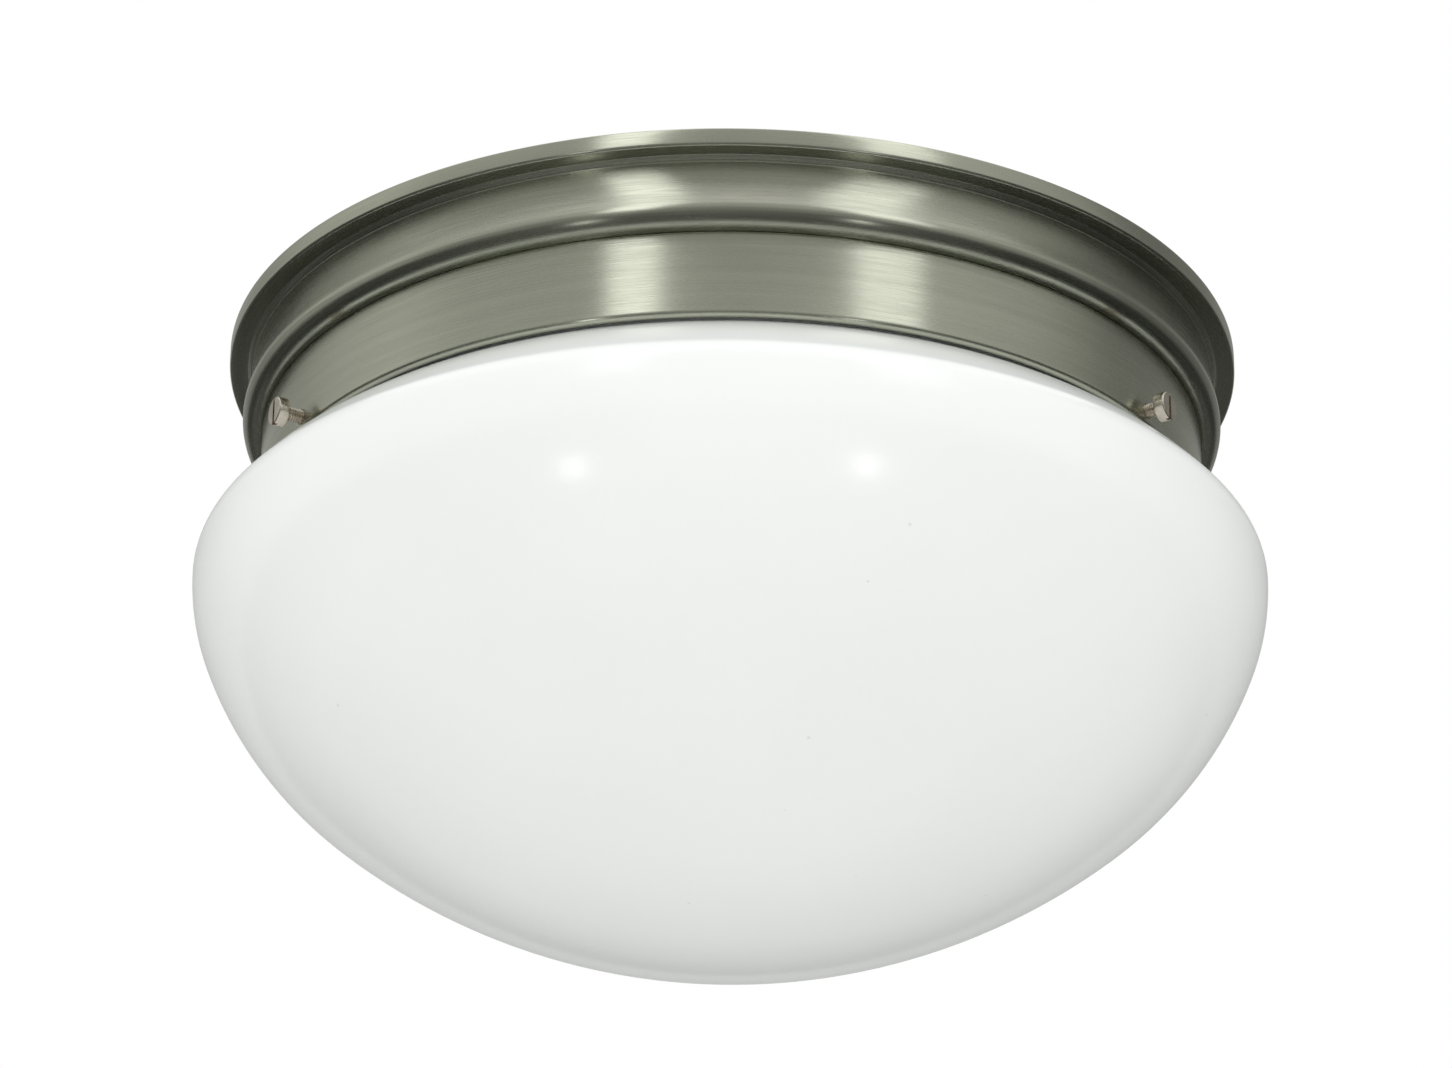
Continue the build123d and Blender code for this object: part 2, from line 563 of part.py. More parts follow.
def ground_lug(eye, eye_hole, low, wire_end, way):
    """Ring lug, flat on a face at one height, with its barrel along Y over the end of the ground lead."""
    x, y = eye
    tongue_end = wire_end[1] - way * LUG_BARREL / 2
    ring = rod(LUG_R, low, low + LUG_T, x, y)
    ring += Pos(x, (y + tongue_end) / 2, low + LUG_T / 2) * Box(LUG_BARREL_R * 2, abs(tongue_end - y), LUG_T)
    ring -= rod(eye_hole, low, low + LUG_T, x, y)
    upright = (Align.CENTER, Align.CENTER, Align.MIN)
    barrel = Plane((x, tongue_end, wire_end[2]), z_dir=(0, way, 0)) * Cylinder(
        LUG_BARREL_R, LUG_BARREL * 5 / 6, align=upright
    )
    bore_r = GROUND_WIRE_R + THREAD_CLEAR
    return ring + barrel - Plane(wire_end, z_dir=(0, way, 0)) * Cylinder(bore_r, LUG_BARREL, align=upright)


def ground_lugs():
    """The two lugs crimped on the ground lead, one at the strap and one on the plate."""
    return [
        ground_lug((GROUND_X, 0), BORE_R, -STRAP_T - LUG_T, GROUND_ROUTE[0], 1),
        ground_lug(GROUND_RIVET, RIVET_R + RIVET_CLEAR, PLATE_TOP, GROUND_ROUTE[-1], -1),
    ]


# ---- Assembly ----


def model():
    """Every node by name: a solid, or a list of like solids."""
    half_turn = Rot(0, 0, 180)
    nodes = {
        "pan_ring": pan_ring(),
        "back_plate": back_plate(),
        "insulation_pad": insulation_pad(),
        "mounting_strap": mounting_strap(),
        "fixture_screws": fixture_screws(),
        "ground_screw": ground_screw(),
        "ground_lugs": ground_lugs(),
        "ground_wire": wire(GROUND_ROUTE, GROUND_WIRE_R),
        "ground_rivet": Pos(*GROUND_RIVET, 0) * rivet(PLATE_TOP + LUG_T, -PLATE_DEPTH),
        "wire_bushing": wire_bushing(),
        "black_wire_nut": wire_nut(1),
        "white_wire_nut": wire_nut(-1),
        "bracket_rivets": bracket_rivets(),
        "glass_shade": glass_shade(),
    }
    inner, outer = wire(INNER_LEAD, LEAD_R), wire(OUTER_LEAD, LEAD_R)
    nodes |= {"white_lead_a": inner, "black_lead_a": outer}
    nodes |= {"white_lead_b": half_turn * outer, "black_lead_b": half_turn * inner}
    for name, make in (
        ("socket_body", socket_body),
        ("screw_shell", screw_shell),
        ("centre_contact", centre_contact),
        ("socket_bracket", socket_bracket),
        ("socket_screws", socket_screws),
        ("lamp_envelope", lamp_envelope),
        ("lamp_base", lamp_base),
        ("lamp_insulator", lamp_insulator),
        ("lamp_eyelet", lamp_eyelet),
    ):
        made = make()
        pieces = made if isinstance(made, list) else [made]
        nodes[name + "_a"] = made
        nodes[name + "_b"] = [half_turn * piece for piece in pieces]
    for name, angle in THUMB_ANGLES.items():
        nodes["thumbscrew_" + name] = thumbscrew(angle, THUMB_EXPOSED[name])
        nodes["screw_tip_" + name] = thumbscrew_tip(angle, THUMB_EXPOSED[name])
    return nodes


os.makedirs("parts", exist_ok=True)
for node, shape in model().items():
    solids = shape if isinstance(shape, list) else [shape]
    whole = solids[0] if len(solids) == 1 else Compound(children=solids)
    export_step(whole, f"parts/{node}.step")
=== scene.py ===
"""Flush mount ceiling light: a stepped brushed-nickel pan, an opal glass bowl and three thumbscrews.

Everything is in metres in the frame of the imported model: the origin is on the light's axis in the ceiling
plane, +Z is up and -Y faces the viewer.
"""

import math

import bmesh
import bpy
from mathutils import Matrix, Quaternion, Vector, noise


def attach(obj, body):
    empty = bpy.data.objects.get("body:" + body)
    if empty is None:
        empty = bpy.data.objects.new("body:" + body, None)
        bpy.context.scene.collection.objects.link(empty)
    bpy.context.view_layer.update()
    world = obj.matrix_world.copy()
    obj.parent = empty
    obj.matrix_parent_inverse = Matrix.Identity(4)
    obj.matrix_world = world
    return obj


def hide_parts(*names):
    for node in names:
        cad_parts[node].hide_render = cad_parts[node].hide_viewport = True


bl_info = {
    "name": "Flush Mount Ceiling Light",
    "version": (1, 0, 0),
    "blender": (4, 5, 0),
    "location": "3D View > Sidebar > Ceiling Light",
    "description": "Finishes a flush mount ceiling light with a spun pan and an opal glass bowl",
    "category": "Object",
}

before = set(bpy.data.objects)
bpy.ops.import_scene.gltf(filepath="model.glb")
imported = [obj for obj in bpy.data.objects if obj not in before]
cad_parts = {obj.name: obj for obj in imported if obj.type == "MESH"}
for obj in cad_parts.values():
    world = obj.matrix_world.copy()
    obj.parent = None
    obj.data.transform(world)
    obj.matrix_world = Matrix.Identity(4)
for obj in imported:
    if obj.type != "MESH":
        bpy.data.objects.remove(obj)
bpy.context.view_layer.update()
MM = 0.001
PHOTO_WIDTH = 1452
SIDES = {"a": 1, "b": -1}  # the two lampholders; the second is the first turned half round
SCREW_ANGLES = {"left": -60, "right": 60, "rear": 180}  # from the front, about the axis


# ---- Sizes and colours that a user would change ----


def length(name, description, millimetres):
    """Property for a length that is written in millimetres."""
    return bpy.props.FloatProperty(
        name=name, description=description, default=millimetres * MM, unit="LENGTH", precision=5
    )


def number(name, description, default, **limits):
    """Property for a plain number."""
    return bpy.props.FloatProperty(name=name, description=description, default=default, **limits)


def count(name, description, default):
    """Property for a whole number."""
    return bpy.props.IntProperty(name=name, description=description, default=default, min=3)


def colour(name, description, default):
    """Property for a colour, as a shader's own linear values."""
    return bpy.props.FloatVectorProperty(
        name=name, description=description, default=default, subtype="COLOR", size=3, min=0, max=1
    )


class PanSizes(bpy.types.PropertyGroup):
    """Spun ring that carries the glass."""

    radius: length("Radius", "Outside of the lower band", 133.0)
    depth: length("Depth", "Ceiling to the underside of the lip", 50.0)
    sheet: length("Sheet", "Thickness of the metal", 0.8)
    rim_out: length("Rim", "How far the rim stands out beyond the lower band", 10.1)
    ledge_depth: length("Ledge", "Ceiling to the ledge behind the rim", 5.0)
    rim_round: length("Rim rounding", "Radius of the rim's lower edge", 0.9)
    flare_top: length("Flare top", "Upper band's top beyond the lower band", 3.6)
    flare_foot: length("Flare foot", "Upper band's foot beyond the lower band", 5.5)
    flare_depth: length("Flare depth", "Ceiling to where the upper band turns in", 19.5)
    bead_in: length("Bead place", "Rim's edge to the bead at the foot of the ledge", 5.0)
    bead: length("Bead", "Height of the bead", 1.1)
    crease_depth: length("Crease", "Ceiling to the crease between the bands", 24.9)
    crease_in: length("Crease depth", "How far the crease lies inside the lower band", 1.0)
    band_round: length("Band rounding", "Radius at the top of the lower band", 1.3)
    foot_round: length("Foot rounding", "Radius at the foot of the lower band", 1.5)
    lip_in: length("Lip", "How far the lip turns in", 2.0)
    collar: length("Collar", "Outside radius of the collar round each screw", 3.0)
    collar_depth: length("Collar depth", "Outside of the band to the collar's end", 2.6)
    steps: count("Steps", "Facets round the ring", 480)


class GlassSizes(bpy.types.PropertyGroup):
    """Blown bowl."""

    radius: length("Radius", "Widest part of the bowl", 150.4)
    wall: length("Wall", "Thickness of the glass", 3.3)
    lip_radius: length("Lip", "Outside radius of the rolled lip", 128.6)
    groove_radius: length("Groove", "Radius of the groove under the lip", 125.0)
    shoulder_depth: length("Shoulder", "Ceiling to the start of the shoulder", 47.7)
    groove_height: length("Groove height", "Height of the groove", 5.0)
    lip_height: length("Lip height", "Height of the rolled lip", 5.4)
    lip_round: length("Lip rounding", "Radius of the lip's edges", 1.8)
    shoulder_slope: number("Shoulder slope", "Degrees below level at the neck", 24.4)
    steps: count("Steps", "Facets round the bowl", 384)


class ScrewSizes(bpy.types.PropertyGroup):
    """Thumbscrews, and the machine screws above the plate."""

    height: length("Height", "Ceiling to the thumbscrews' axis", 45.8)
    head: length("Head", "Radius of the head", 4.0)
    head_height: length("Head height", "Length of the head", 3.4)
    thread: length("Thread", "Radius of the thread's crest", 2.0)
    pitch: length("Pitch", "Pitch of the thread", 0.7)
    shank: length("Shank", "Length of the shank under the head", 6.7)
    exposed_left: length("Left exposed", "Band to the left screw's head", 4.7)
    exposed_right: length("Right exposed", "Band to the right screw's head", 3.4)
    exposed_rear: length("Rear exposed", "Band to the rear screw's head", 4.0)


class LampSizes(bpy.types.PropertyGroup):
    """Lamps and the threaded shells that they screw into."""

    pitch: length("Pitch", "Pitch of the lamp's thread", 3.629)
    thread: length("Thread depth", "Crest to root of the rolled thread", 0.9)
    base: length("Base", "Radius of the base over its thread", 13.1)
    shell: length("Shell", "Radius of the lampholder's shell over its thread", 13.9)
    envelope: length("Envelope", "Radius of the lamp's globe", 30.0)
    neck: length("Neck", "Radius of the lamp's neck", 12.5)
    neck_bend: length("Neck bend", "Radius where the neck opens into the globe", 49.4)
    top: length("Top", "Floor of the shell to the lamp's far end", 114.3)


class Finishes(bpy.types.PropertyGroup):
    """Colours of the finishes."""

    nickel: colour("Nickel", "Brushed plate of the pan", (0.50, 0.51, 0.425))
    screw_nickel: colour("Screw nickel", "Warmer plate of the thumbscrews", (0.66, 0.60, 0.52))
    opal: colour("Opal", "Opal glass", (0.905, 0.935, 0.91))
    zinc: colour("Zinc", "Plate of the hidden steel", (0.60, 0.61, 0.62))
    yellow_zinc: colour("Yellow zinc", "Plate of the mounting strap", (0.62, 0.56, 0.42))
    porcelain: colour("Porcelain", "Glaze of the lampholders", (0.80, 0.785, 0.74))
    fibre: colour("Fibre", "Insulation blanket", (0.74, 0.68, 0.42))


class StudioSettings(bpy.types.PropertyGroup):
    """Camera and lights."""

    elevation: number("Elevation", "Degrees that the camera looks up", 25.4)
    azimuth: number("Azimuth", "Degrees round the light from the front", 2.0)
    roll: number("Roll", "Degrees that the picture leans clockwise", 0.51)
    yaw: number("Yaw", "Degrees that the camera is turned aside", -0.03)
    distance: length("Distance", "Camera to the point it looks at", 1569.0)
    aim_x: length("Aim X", "Point that the camera looks at, across", -0.5)
    aim_z: length("Aim Z", "Point that the camera looks at, up", -50.3)
    focal: number("Focal length", "In pixels of the photograph", 5558.0)
    level: number("Level", "Brightness of the plain light all round", 1.0)
    floor_depth: length("Floor", "Ceiling to the floor", 2700.0)


GROUPS = {
    "ceiling_pan": PanSizes,
    "ceiling_glass": GlassSizes,
    "ceiling_screws": ScrewSizes,
    "ceiling_lamps": LampSizes,
    "ceiling_finishes": Finishes,
    "ceiling_studio": StudioSettings,
}


# ---- Shader building ----


class Value:
    """A socket's output; arithmetic on it adds the Math nodes that work it out."""

    def __init__(self, shader, socket):
        self.shader = shader
        self.socket = socket

    def math(self, operation, *values):
        """Math node on this value and others."""
        return self.shader.add("ShaderNodeMath", {"operation": operation}, dict(enumerate(values)))

    def __add__(self, other):
        return self.math("ADD", self, other)

    def __sub__(self, other):
        return self.math("SUBTRACT", self, other)

    def __rsub__(self, other):
        return self.math("SUBTRACT", other, self)

    def __mul__(self, other):
        return self.math("MULTIPLY", self, other)

    def __truediv__(self, other):
        return self.math("DIVIDE", self, other)

    __radd__ = __add__
    __rmul__ = __mul__


class Shader:
    """Node tree of a material or of the world."""

    def __init__(self, owner):
        owner.use_nodes = True
        self.tree = owner.node_tree
        self.tree.nodes.clear()

    def add(self, kind, settings=None, inputs=None, output=0):
        """Adds a node, with its settings first, and gives one of its outputs."""
        node = self.tree.nodes.new(kind)
        for name, value in (settings or {}).items():
            if name == "stops":
                self.set_stops(node.color_ramp, value)
            else:
                setattr(node, name, value)
        for name, value in (inputs or {}).items():
            if isinstance(value, Value):
                self.tree.links.new(value.socket, node.inputs[name])
            else:
                socket = node.inputs[name]
                socket.default_value = (*value, 1.0) if socket.type == "RGBA" and len(value) == 3 else value
        return Value(self, node.outputs[output]) if len(node.outputs) else None

    @staticmethod
    def set_stops(ramp, stops):
        """Places a ramp's stops from (position, colour or grey) pairs."""
        while len(ramp.elements) < len(stops):
            ramp.elements.new(1.0)
        for element, (position, tone) in zip(ramp.elements, stops):
            element.position = position
            element.color = (*tone, 1.0) if isinstance(tone, (tuple, list)) else (tone, tone, tone, 1.0)

    def place(self):
        """Position on the piece, in millimetres, as three values."""
        where = self.add("ShaderNodeTexCoord", output="Object")
        split = self.tree.nodes.new("ShaderNodeSeparateXYZ")
        self.tree.links.new(where.socket, split.inputs[0])
        return [Value(self, axis) * (1 / MM) for axis in split.outputs]

    def spot(self):
        """Position on the piece, in millimetres, as one vector."""
        return self.vector(*self.place())

    def seen(self):
        """1 where a surface is seen directly, mirrored or seen through, and 0 elsewhere."""
        path = self.tree.nodes.new("ShaderNodeLightPath")
        names = ("Is Camera Ray", "Is Glossy Ray", "Is Transmission Ray")
        rays = [Value(self, path.outputs[name]) for name in names]
        return rays[0].math("MINIMUM", rays[0] + rays[1] + rays[2], 1.0)

    def vector(self, x, y, z):
        """Three values as one vector."""
        return self.add("ShaderNodeCombineXYZ", None, {0: x, 1: y, 2: z})

    def noise(self, vector, scale=1.0, detail=3.0, roughness=0.55, w=None):
        """Noise from 0 to 1 at a vector, in four dimensions where w is given."""
        inputs = {"Vector": vector, "Scale": scale, "Detail": detail, "Roughness": roughness}
        if w is None:
            return self.add("ShaderNodeTexNoise", None, inputs)
        return self.add("ShaderNodeTexNoise", {"noise_dimensions": "4D"}, inputs | {"W": w})

    def span(self, value, low, high, at_low=0.0, at_high=1.0):
        """Moves a value's range smoothly to another."""
        inputs = {"Value": value, "From Min": low, "From Max": high, "To Min": at_low, "To Max": at_high}
        return self.add("ShaderNodeMapRange", {"interpolation_type": "SMOOTHSTEP"}, inputs)

    def patchy(self, value, tone, dark, light):
        """A tone from a darker to a lighter share of itself, as a noise goes."""
        return self.mix(self.span(value, 0.3, 0.7), scaled(tone, dark), scaled(tone, light))

    def mix(self, factor, one, other):
        """Blend of two colours."""
        inputs = {0: factor, 6: one, 7: other}
        return self.add("ShaderNodeMix", {"data_type": "RGBA"}, inputs, output=2)

    def bump(self, height, distance, strength=1.0):
        """Normal bent by a height, whose full range is a distance in metres."""
        inputs = {"Height": height, "Distance": distance, "Strength": strength}
        return self.add("ShaderNodeBump", None, inputs)

    def surface(self, **sockets):
        """Principled surface; an underscore in a name stands for a space."""
        inputs = {name.replace("_", " "): value for name, value in sockets.items()}
        shader = self.add("ShaderNodeBsdfPrincipled", None, inputs)
        self.add("ShaderNodeOutputMaterial", None, {"Surface": shader})


def scaled(tone, factor):
    """A colour made lighter or darker, kept within 0 and 1."""
    return tuple(min(1.0, channel * factor) for channel in tone)


def new_shader(name):
    """New material and its shader."""
    material = bpy.data.materials.new(name)
    return material, Shader(material)


# ---- Materials ----


# heights between which the painted shade in the crease under the upper band fades in and out, in millimetres
CREASE_SHADE_TOP = (-20.6, -21.6)
CREASE_SHADE_FOOT = (-25.2, -24.6)


def brushed_nickel(tone):
    """Satin nickel on spun metal: fine turning lines run round the axis; painted shade darkens the crease
    between the bands.
    """
    material, shader = new_shader("brushed_nickel")
    x, y, z = shader.place()
    level = shader.vector(x, y, 0.0)
    radius = shader.add("ShaderNodeVectorMath", {"operation": "LENGTH"}, {0: level}, "Value")
    across = shader.vector(radius * 1.0, z * 1.0, x * 0.012)
    fine = shader.noise(across, 5.5, 4.0, 0.7, w=y * 0.012)
    broad = shader.noise(shader.vector(radius * 1.0, z * 1.0, x * 0.006), 0.55, 2.0, 0.5, w=y * 0.006)
    cloud = shader.noise(shader.vector(x, y, z), 0.02, 3.0, 0.6)
    lines = shader.span(fine, 0.3, 0.7)
    # painted shade: groove is the mask that darkens the metal's colour along the crease between the bands
    groove = shader.span(z, *CREASE_SHADE_TOP) * shader.span(z, *CREASE_SHADE_FOOT)
    shade = shader.span(broad * 0.5 + cloud * 0.5, 0.35, 0.65)
    tint = shader.mix(shade, scaled(tone, 0.93), scaled(tone, 1.05))
    base = shader.mix(lines * 0.35, tint, scaled(tone, 0.86))
    shader.surface(
        # base colour goes darker where the painted crease shade lies
        Base_Color=shader.mix(groove * 0.6, base, scaled(tone, 0.45)),
        Metallic=1.0,
        Roughness=shader.span(cloud * 0.6 + lines * 0.4, 0.3, 0.7, 0.2, 0.28),
        Anisotropic=0.85,
        Anisotropic_Rotation=0.25,
        Normal=shader.bump(fine, 0.00001, 0.5),
    )
    return material


def plated_metal(name, tone, roughness=0.3, grain=0.25, depth=0.00002):
    """Plated or drawn small metal part with a slightly uneven, worn surface."""
    material, shader = new_shader(name)
    place = shader.spot()
    grains = shader.noise(place, grain * 4, 4.0, 0.65)
    stains = shader.noise(place, grain * 0.4, 3.0, 0.6)
    shader.surface(
        Base_Color=shader.patchy(stains, tone, 0.86, 1.08),
        Metallic=1.0,
        Roughness=shader.span(grains * 0.5 + stains * 0.5, 0.3, 0.7, roughness - 0.06, roughness + 0.08),
        Normal=shader.bump(grains, depth, 0.6),
    )
    return material


def spangled_zinc(tone):
    """Galvanised sheet: crystals of slightly different grey."""
    material, shader = new_shader("spangled_zinc")
    place = shader.spot()
    cells = shader.add("ShaderNodeTexVoronoi", None, {"Vector": place, "Scale": 0.22}, "Color")
    pick = shader.add("ShaderNodeSeparateColor", None, {0: cells})
    cloud = shader.noise(place, 0.05, 3.0)
    base = shader.mix(pick * 0.7 + cloud * 0.3, scaled(tone, 0.84), scaled(tone, 1.1))
    shader.surface(
        Base_Color=base,
        Metallic=1.0,
        Roughness=shader.span(pick, 0.0, 1.0, 0.34, 0.48),
        Normal=shader.bump(shader.noise(place, 1.2, 3.0), 0.00002, 0.5),
    )
    return material


def opal_glass(tone):
    """White opal glass, glossy outside, with a faint ripple and a few seeds."""
    material, shader = new_shader("opal_glass")
    place = shader.spot()
    ripple = shader.noise(place, 0.022, 2.0, 0.5)
    cloud = shader.noise(place, 0.012, 2.0, 0.5)
    distance = shader.add("ShaderNodeTexVoronoi", None, {"Vector": place, "Scale": 0.055}, "Distance")
    seed = shader.span(distance, 0.018, 0.032, 1.0, 0.0)
    body = shader.patchy(cloud, tone, 0.985, 1.012)
    shader.surface(
        Base_Color=shader.mix(seed * 0.35, body, scaled(tone, 0.6)),
        Roughness=0.45,
        IOR=1.5,
        Coat_Weight=1.0,
        Coat_Roughness=0.16,
        Coat_IOR=1.5,
        Subsurface_Weight=0.25,
        Subsurface_Radius=(0.9, 1.0, 0.95),
        Subsurface_Scale=0.004,
        Normal=shader.bump(ripple, 0.0002, 0.35),
    )
    return material


def frosted_glass(name, tone, roughness=0.5):
    """Frosted or pressed glass with a powdery surface and a thin gloss."""
    material, shader = new_shader(name)
    place = shader.spot()
    powder = shader.noise(place, 0.9, 4.0, 0.6)
    cloud = shader.noise(place, 0.05, 2.0)
    shader.surface(
        Base_Color=shader.patchy(cloud, tone, 0.97, 1.0),
        Roughness=shader.span(powder, 0.3, 0.7, roughness - 0.08, roughness + 0.08),
        Coat_Weight=0.6,
        Coat_Roughness=0.1,
        Normal=shader.bump(powder, 0.00002, 0.3),
    )
    return material


def glazed_porcelain(tone):
    """Glazed porcelain with specks and a slight orange peel."""
    material, shader = new_shader("glazed_porcelain")
    place = shader.spot()
    peel = shader.noise(place, 0.35, 2.0)
    distance = shader.add("ShaderNodeTexVoronoi", None, {"Vector": place, "Scale": 0.3}, "Distance")
    speck = shader.span(distance, 0.04, 0.1, 1.0, 0.0)
    tint = shader.patchy(shader.noise(place, 0.06), tone, 0.95, 1.03)
    shader.surface(
        Base_Color=shader.mix(speck * 0.5, tint, scaled(tone, 0.55)),
        Roughness=0.22,
        Coat_Weight=0.8,
        Coat_Roughness=0.08,
        Normal=shader.bump(peel, 0.00015, 0.4),
    )
    return material


def moulded_plastic(name, tone, roughness=0.45, coat=0.0):
    """Moulded or extruded plastic with a fine mould texture."""
    material, shader = new_shader(name)
    place = shader.spot()
    grain = shader.noise(place, 2.2, 3.0, 0.6)
    cloud = shader.noise(place, 0.12, 3.0)
    shader.surface(
        Base_Color=shader.patchy(cloud, tone, 0.88, 1.1),
        Roughness=shader.span(grain, 0.3, 0.7, roughness - 0.06, roughness + 0.08),
        Coat_Weight=coat,
        Normal=shader.bump(grain, 0.00004, 0.5),
    )
    return material


STRAND_TONE = (0.95, 0.92, 0.78)


def glass_fibre(tone):
    """Fluffy insulation: crossing fibres over a soft, uneven body."""
    material, shader = new_shader("glass_fibre")
    x, y, z = shader.place()
    heights = []
    for lean in (-1.0, 0.4, 1.3):
        along = shader.vector(x * 0.12 + y * (0.12 * lean), y * 1.6 - x * (1.6 * lean), z * 1.2)
        heights.append(shader.noise(along, 0.8, 4.0, 0.65))
    first, second, third = heights
    fibres = first.math("MAXIMUM", first.math("MAXIMUM", first, second), third)
    lumps = shader.noise(shader.vector(x, y, z), 0.07, 4.0, 0.6)
    strands = shader.span(fibres, 0.5, 0.75)
    base = shader.patchy(lumps, tone, 0.8, 1.08)
    shader.surface(
        Base_Color=shader.mix(strands * 0.6, base, STRAND_TONE),
        Roughness=shader.span(strands, 0.0, 1.0, 0.95, 0.6),
        Sheen_Weight=0.4,
        Sheen_Roughness=0.5,
        Normal=shader.bump(fibres * 0.6 + lumps * 0.4, 0.001, 0.8),
    )
    return material


# ---- Geometry helpers ----


class Section:
    """Outline of radius and height, drawn with lines and arcs that leave along the last heading."""

    def __init__(self, radius, height):
        self.points = [(radius, height)]
        self.heading = (1.0, 0.0)

    def line(self, radius, height, pieces=1):
        """Straight run to a point."""
        r, z = self.points[-1]
        for step in range(1, pieces + 1):
            self.points.append((r + (radius - r) * step / pieces, z + (height - z) * step / pieces))
        size = math.hypot(radius - r, height - z)
        self.heading = ((radius - r) / size, (height - z) / size)
        return self

    def face(self, radius, height):
        """Sets the heading for the next arc."""
        size = math.hypot(radius, height)
        self.heading = (radius / size, height / size)
        return self

    def turn(self, radius, degrees, pieces):
        """Arc of a radius and an angle, which is positive to the left."""
        r, z = self.points[-1]
        (u, v), full = self.heading, math.radians(degrees)
        for step in range(1, pieces + 1):
            part = full * step / pieces
            chord = 2 * radius * math.sin(abs(part) / 2)
            c, s = math.cos(part / 2), math.sin(part / 2)
            self.points.append((r + chord * (u * c - v * s), z + chord * (u * s + v * c)))
        c, s = math.cos(full), math.sin(full)
        self.heading = (u * c - v * s, u * s + v * c)
        return self

    def arc(self, radius, height, pieces=8):
        """Arc to a point."""
        r, z = self.points[-1]
        u, v = self.heading
        dr, dz = radius - r, height - z
        lean = math.atan2(u * dz - v * dr, u * dr + v * dz)
        return self.turn(math.hypot(dr, dz) / (2 * abs(math.sin(lean))), math.degrees(2 * lean), pieces)


def make_mesh(name, points, faces, sharp=40.0):
    """Closed smooth mesh whose edges beyond an angle stay sharp, with its faces turned outwards."""
    mesh = bpy.data.meshes.new(name)
    mesh.from_pydata(points, [], faces)
    form = bmesh.new()
    form.from_mesh(mesh)
    bmesh.ops.recalc_face_normals(form, faces=form.faces)
    form.to_mesh(mesh)
    form.free()
    mesh.polygons.foreach_set("use_smooth", [True] * len(mesh.polygons))
    mesh.set_sharp_from_angle(angle=math.radians(sharp))
    return mesh


def new_piece(name, mesh, material, place=None):
    """Object for a mesh, with its vertices moved to their place in the frame."""
    if place is not None:
        mesh.transform(place)
    mesh.materials.clear()
    mesh.materials.append(material)
    piece = bpy.data.objects.new(name, mesh)
    bpy.context.scene.collection.objects.link(piece)
    return piece


def dress(piece, material, place=None):
    """Moves a piece's reworked mesh to its place and gives it back its one material."""
    if place is not None:
        piece.data.transform(place)
    piece.data.materials.clear()
    piece.data.materials.append(material)


def skin(rings, closed=False):
    """Skin over rings of as many points each; a ring of one point is a pole. Closed joins last to first."""
    points, starts = [], []
    for ring in rings:
        starts.append(len(points))
        points += ring
    faces = []
    pairs = list(zip(range(len(rings)), range(1, len(rings))))
    if closed:
        pairs.append((len(rings) - 1, 0))
    for one, other in pairs:
        a, b, n, m = starts[one], starts[other], len(rings[one]), len(rings[other])
        steps = max(n, m)
        for i in range(steps):
            j = (i + 1) % steps
            if n == 1:
                faces.append((a, b + i, b + j))
            elif m == 1:
                faces.append((a + i, a + j, b))
            else:
                faces.append((a + i, a + j, b + j, b + i))
    return points, faces


def ring_at(radius, height, steps, wave=None):
    """One ring of points; wave changes the radius by the angle. A radius of nothing is a pole."""
    if radius < 1e-7:
        return [(0.0, 0.0, height)]
    ring = []
    for step in range(steps):
        angle = 2 * math.pi * step / steps
        r = radius + (wave(angle) if wave else 0.0)
        ring.append((r * math.cos(angle), r * math.sin(angle), height))
    return ring


def rings_of(outline, steps):
    """Rings for an outline in millimetres."""
    return [ring_at(r * MM, z * MM, steps) for r, z in outline]


def lathe(outline, steps, closed=False):
    """An outline turned about Z."""
    return skin([ring_at(r, z, steps) for r, z in outline], closed)


def thread_rings(crest, root, low, high, pitch, steps=40, rows=8, fade=None, rounded=False):
    """Rings of a screw thread between two heights; it fades into its root at both ends."""
    fade = pitch if fade is None else fade
    rings = []
    total = max(2, round((high - low) / pitch * rows))
    for row in range(total + 1):
        z = low + (high - low) * row / total
        strength = min(1.0, (z - low) / fade, (high - z) / fade)

        def wave(angle, z=z, strength=strength):
            phase = (z / pitch - angle / (2 * math.pi)) % 1.0
            if rounded:
                shape = 0.5 - 0.5 * math.cos(2 * math.pi * phase)
            else:
                shape = min(1.0, max(0.0, 1.35 - 2.7 * abs(phase - 0.5)))
            return (crest - root) * shape * max(0.0, strength)

        rings.append(ring_at(root, z, steps, wave))
    return rings


def cut(piece, *cutters):
    """Takes meshes away from a piece's mesh for good."""
    for mesh in cutters:
        tool = bpy.data.objects.new("cutter", mesh)
        bpy.context.scene.collection.objects.link(tool)
        modifier = piece.modifiers.new("cut", "BOOLEAN")
        modifier.object = tool
        modifier.operation = "DIFFERENCE"
        modifier.solver = "EXACT"
        graph = bpy.context.evaluated_depsgraph_get()
        result = bpy.data.meshes.new_from_object(piece.evaluated_get(graph))
        piece.modifiers.clear()
        piece.data = result
        bpy.data.objects.remove(tool)
    piece.data.set_sharp_from_angle(angle=math.radians(35))


def box_mesh(low, high):
    """Plain block between two corners, used as a cutter."""
    points = [(x, y, z) for x in (low[0], high[0]) for y in (low[1], high[1]) for z in (low[2], high[2])]
    faces = [(0, 1, 3, 2), (4, 6, 7, 5), (0, 4, 5, 1), (2, 3, 7, 6), (0, 2, 6, 4), (1, 5, 7, 3)]
    return make_mesh("block", points, faces)


def facing(origin, forward):
    """Matrix that stands a piece's +Z along a direction at a point, with its +X up or across."""
    z = Vector(forward).normalized()
    x = Vector((0, 0, 1)) if abs(z.z) < 0.9 else Vector((1, 0, 0))
    y = z.cross(x).normalized()
    x = y.cross(z).normalized()
    return Matrix.Translation(origin) @ Matrix((x, y, z)).transposed().to_4x4()


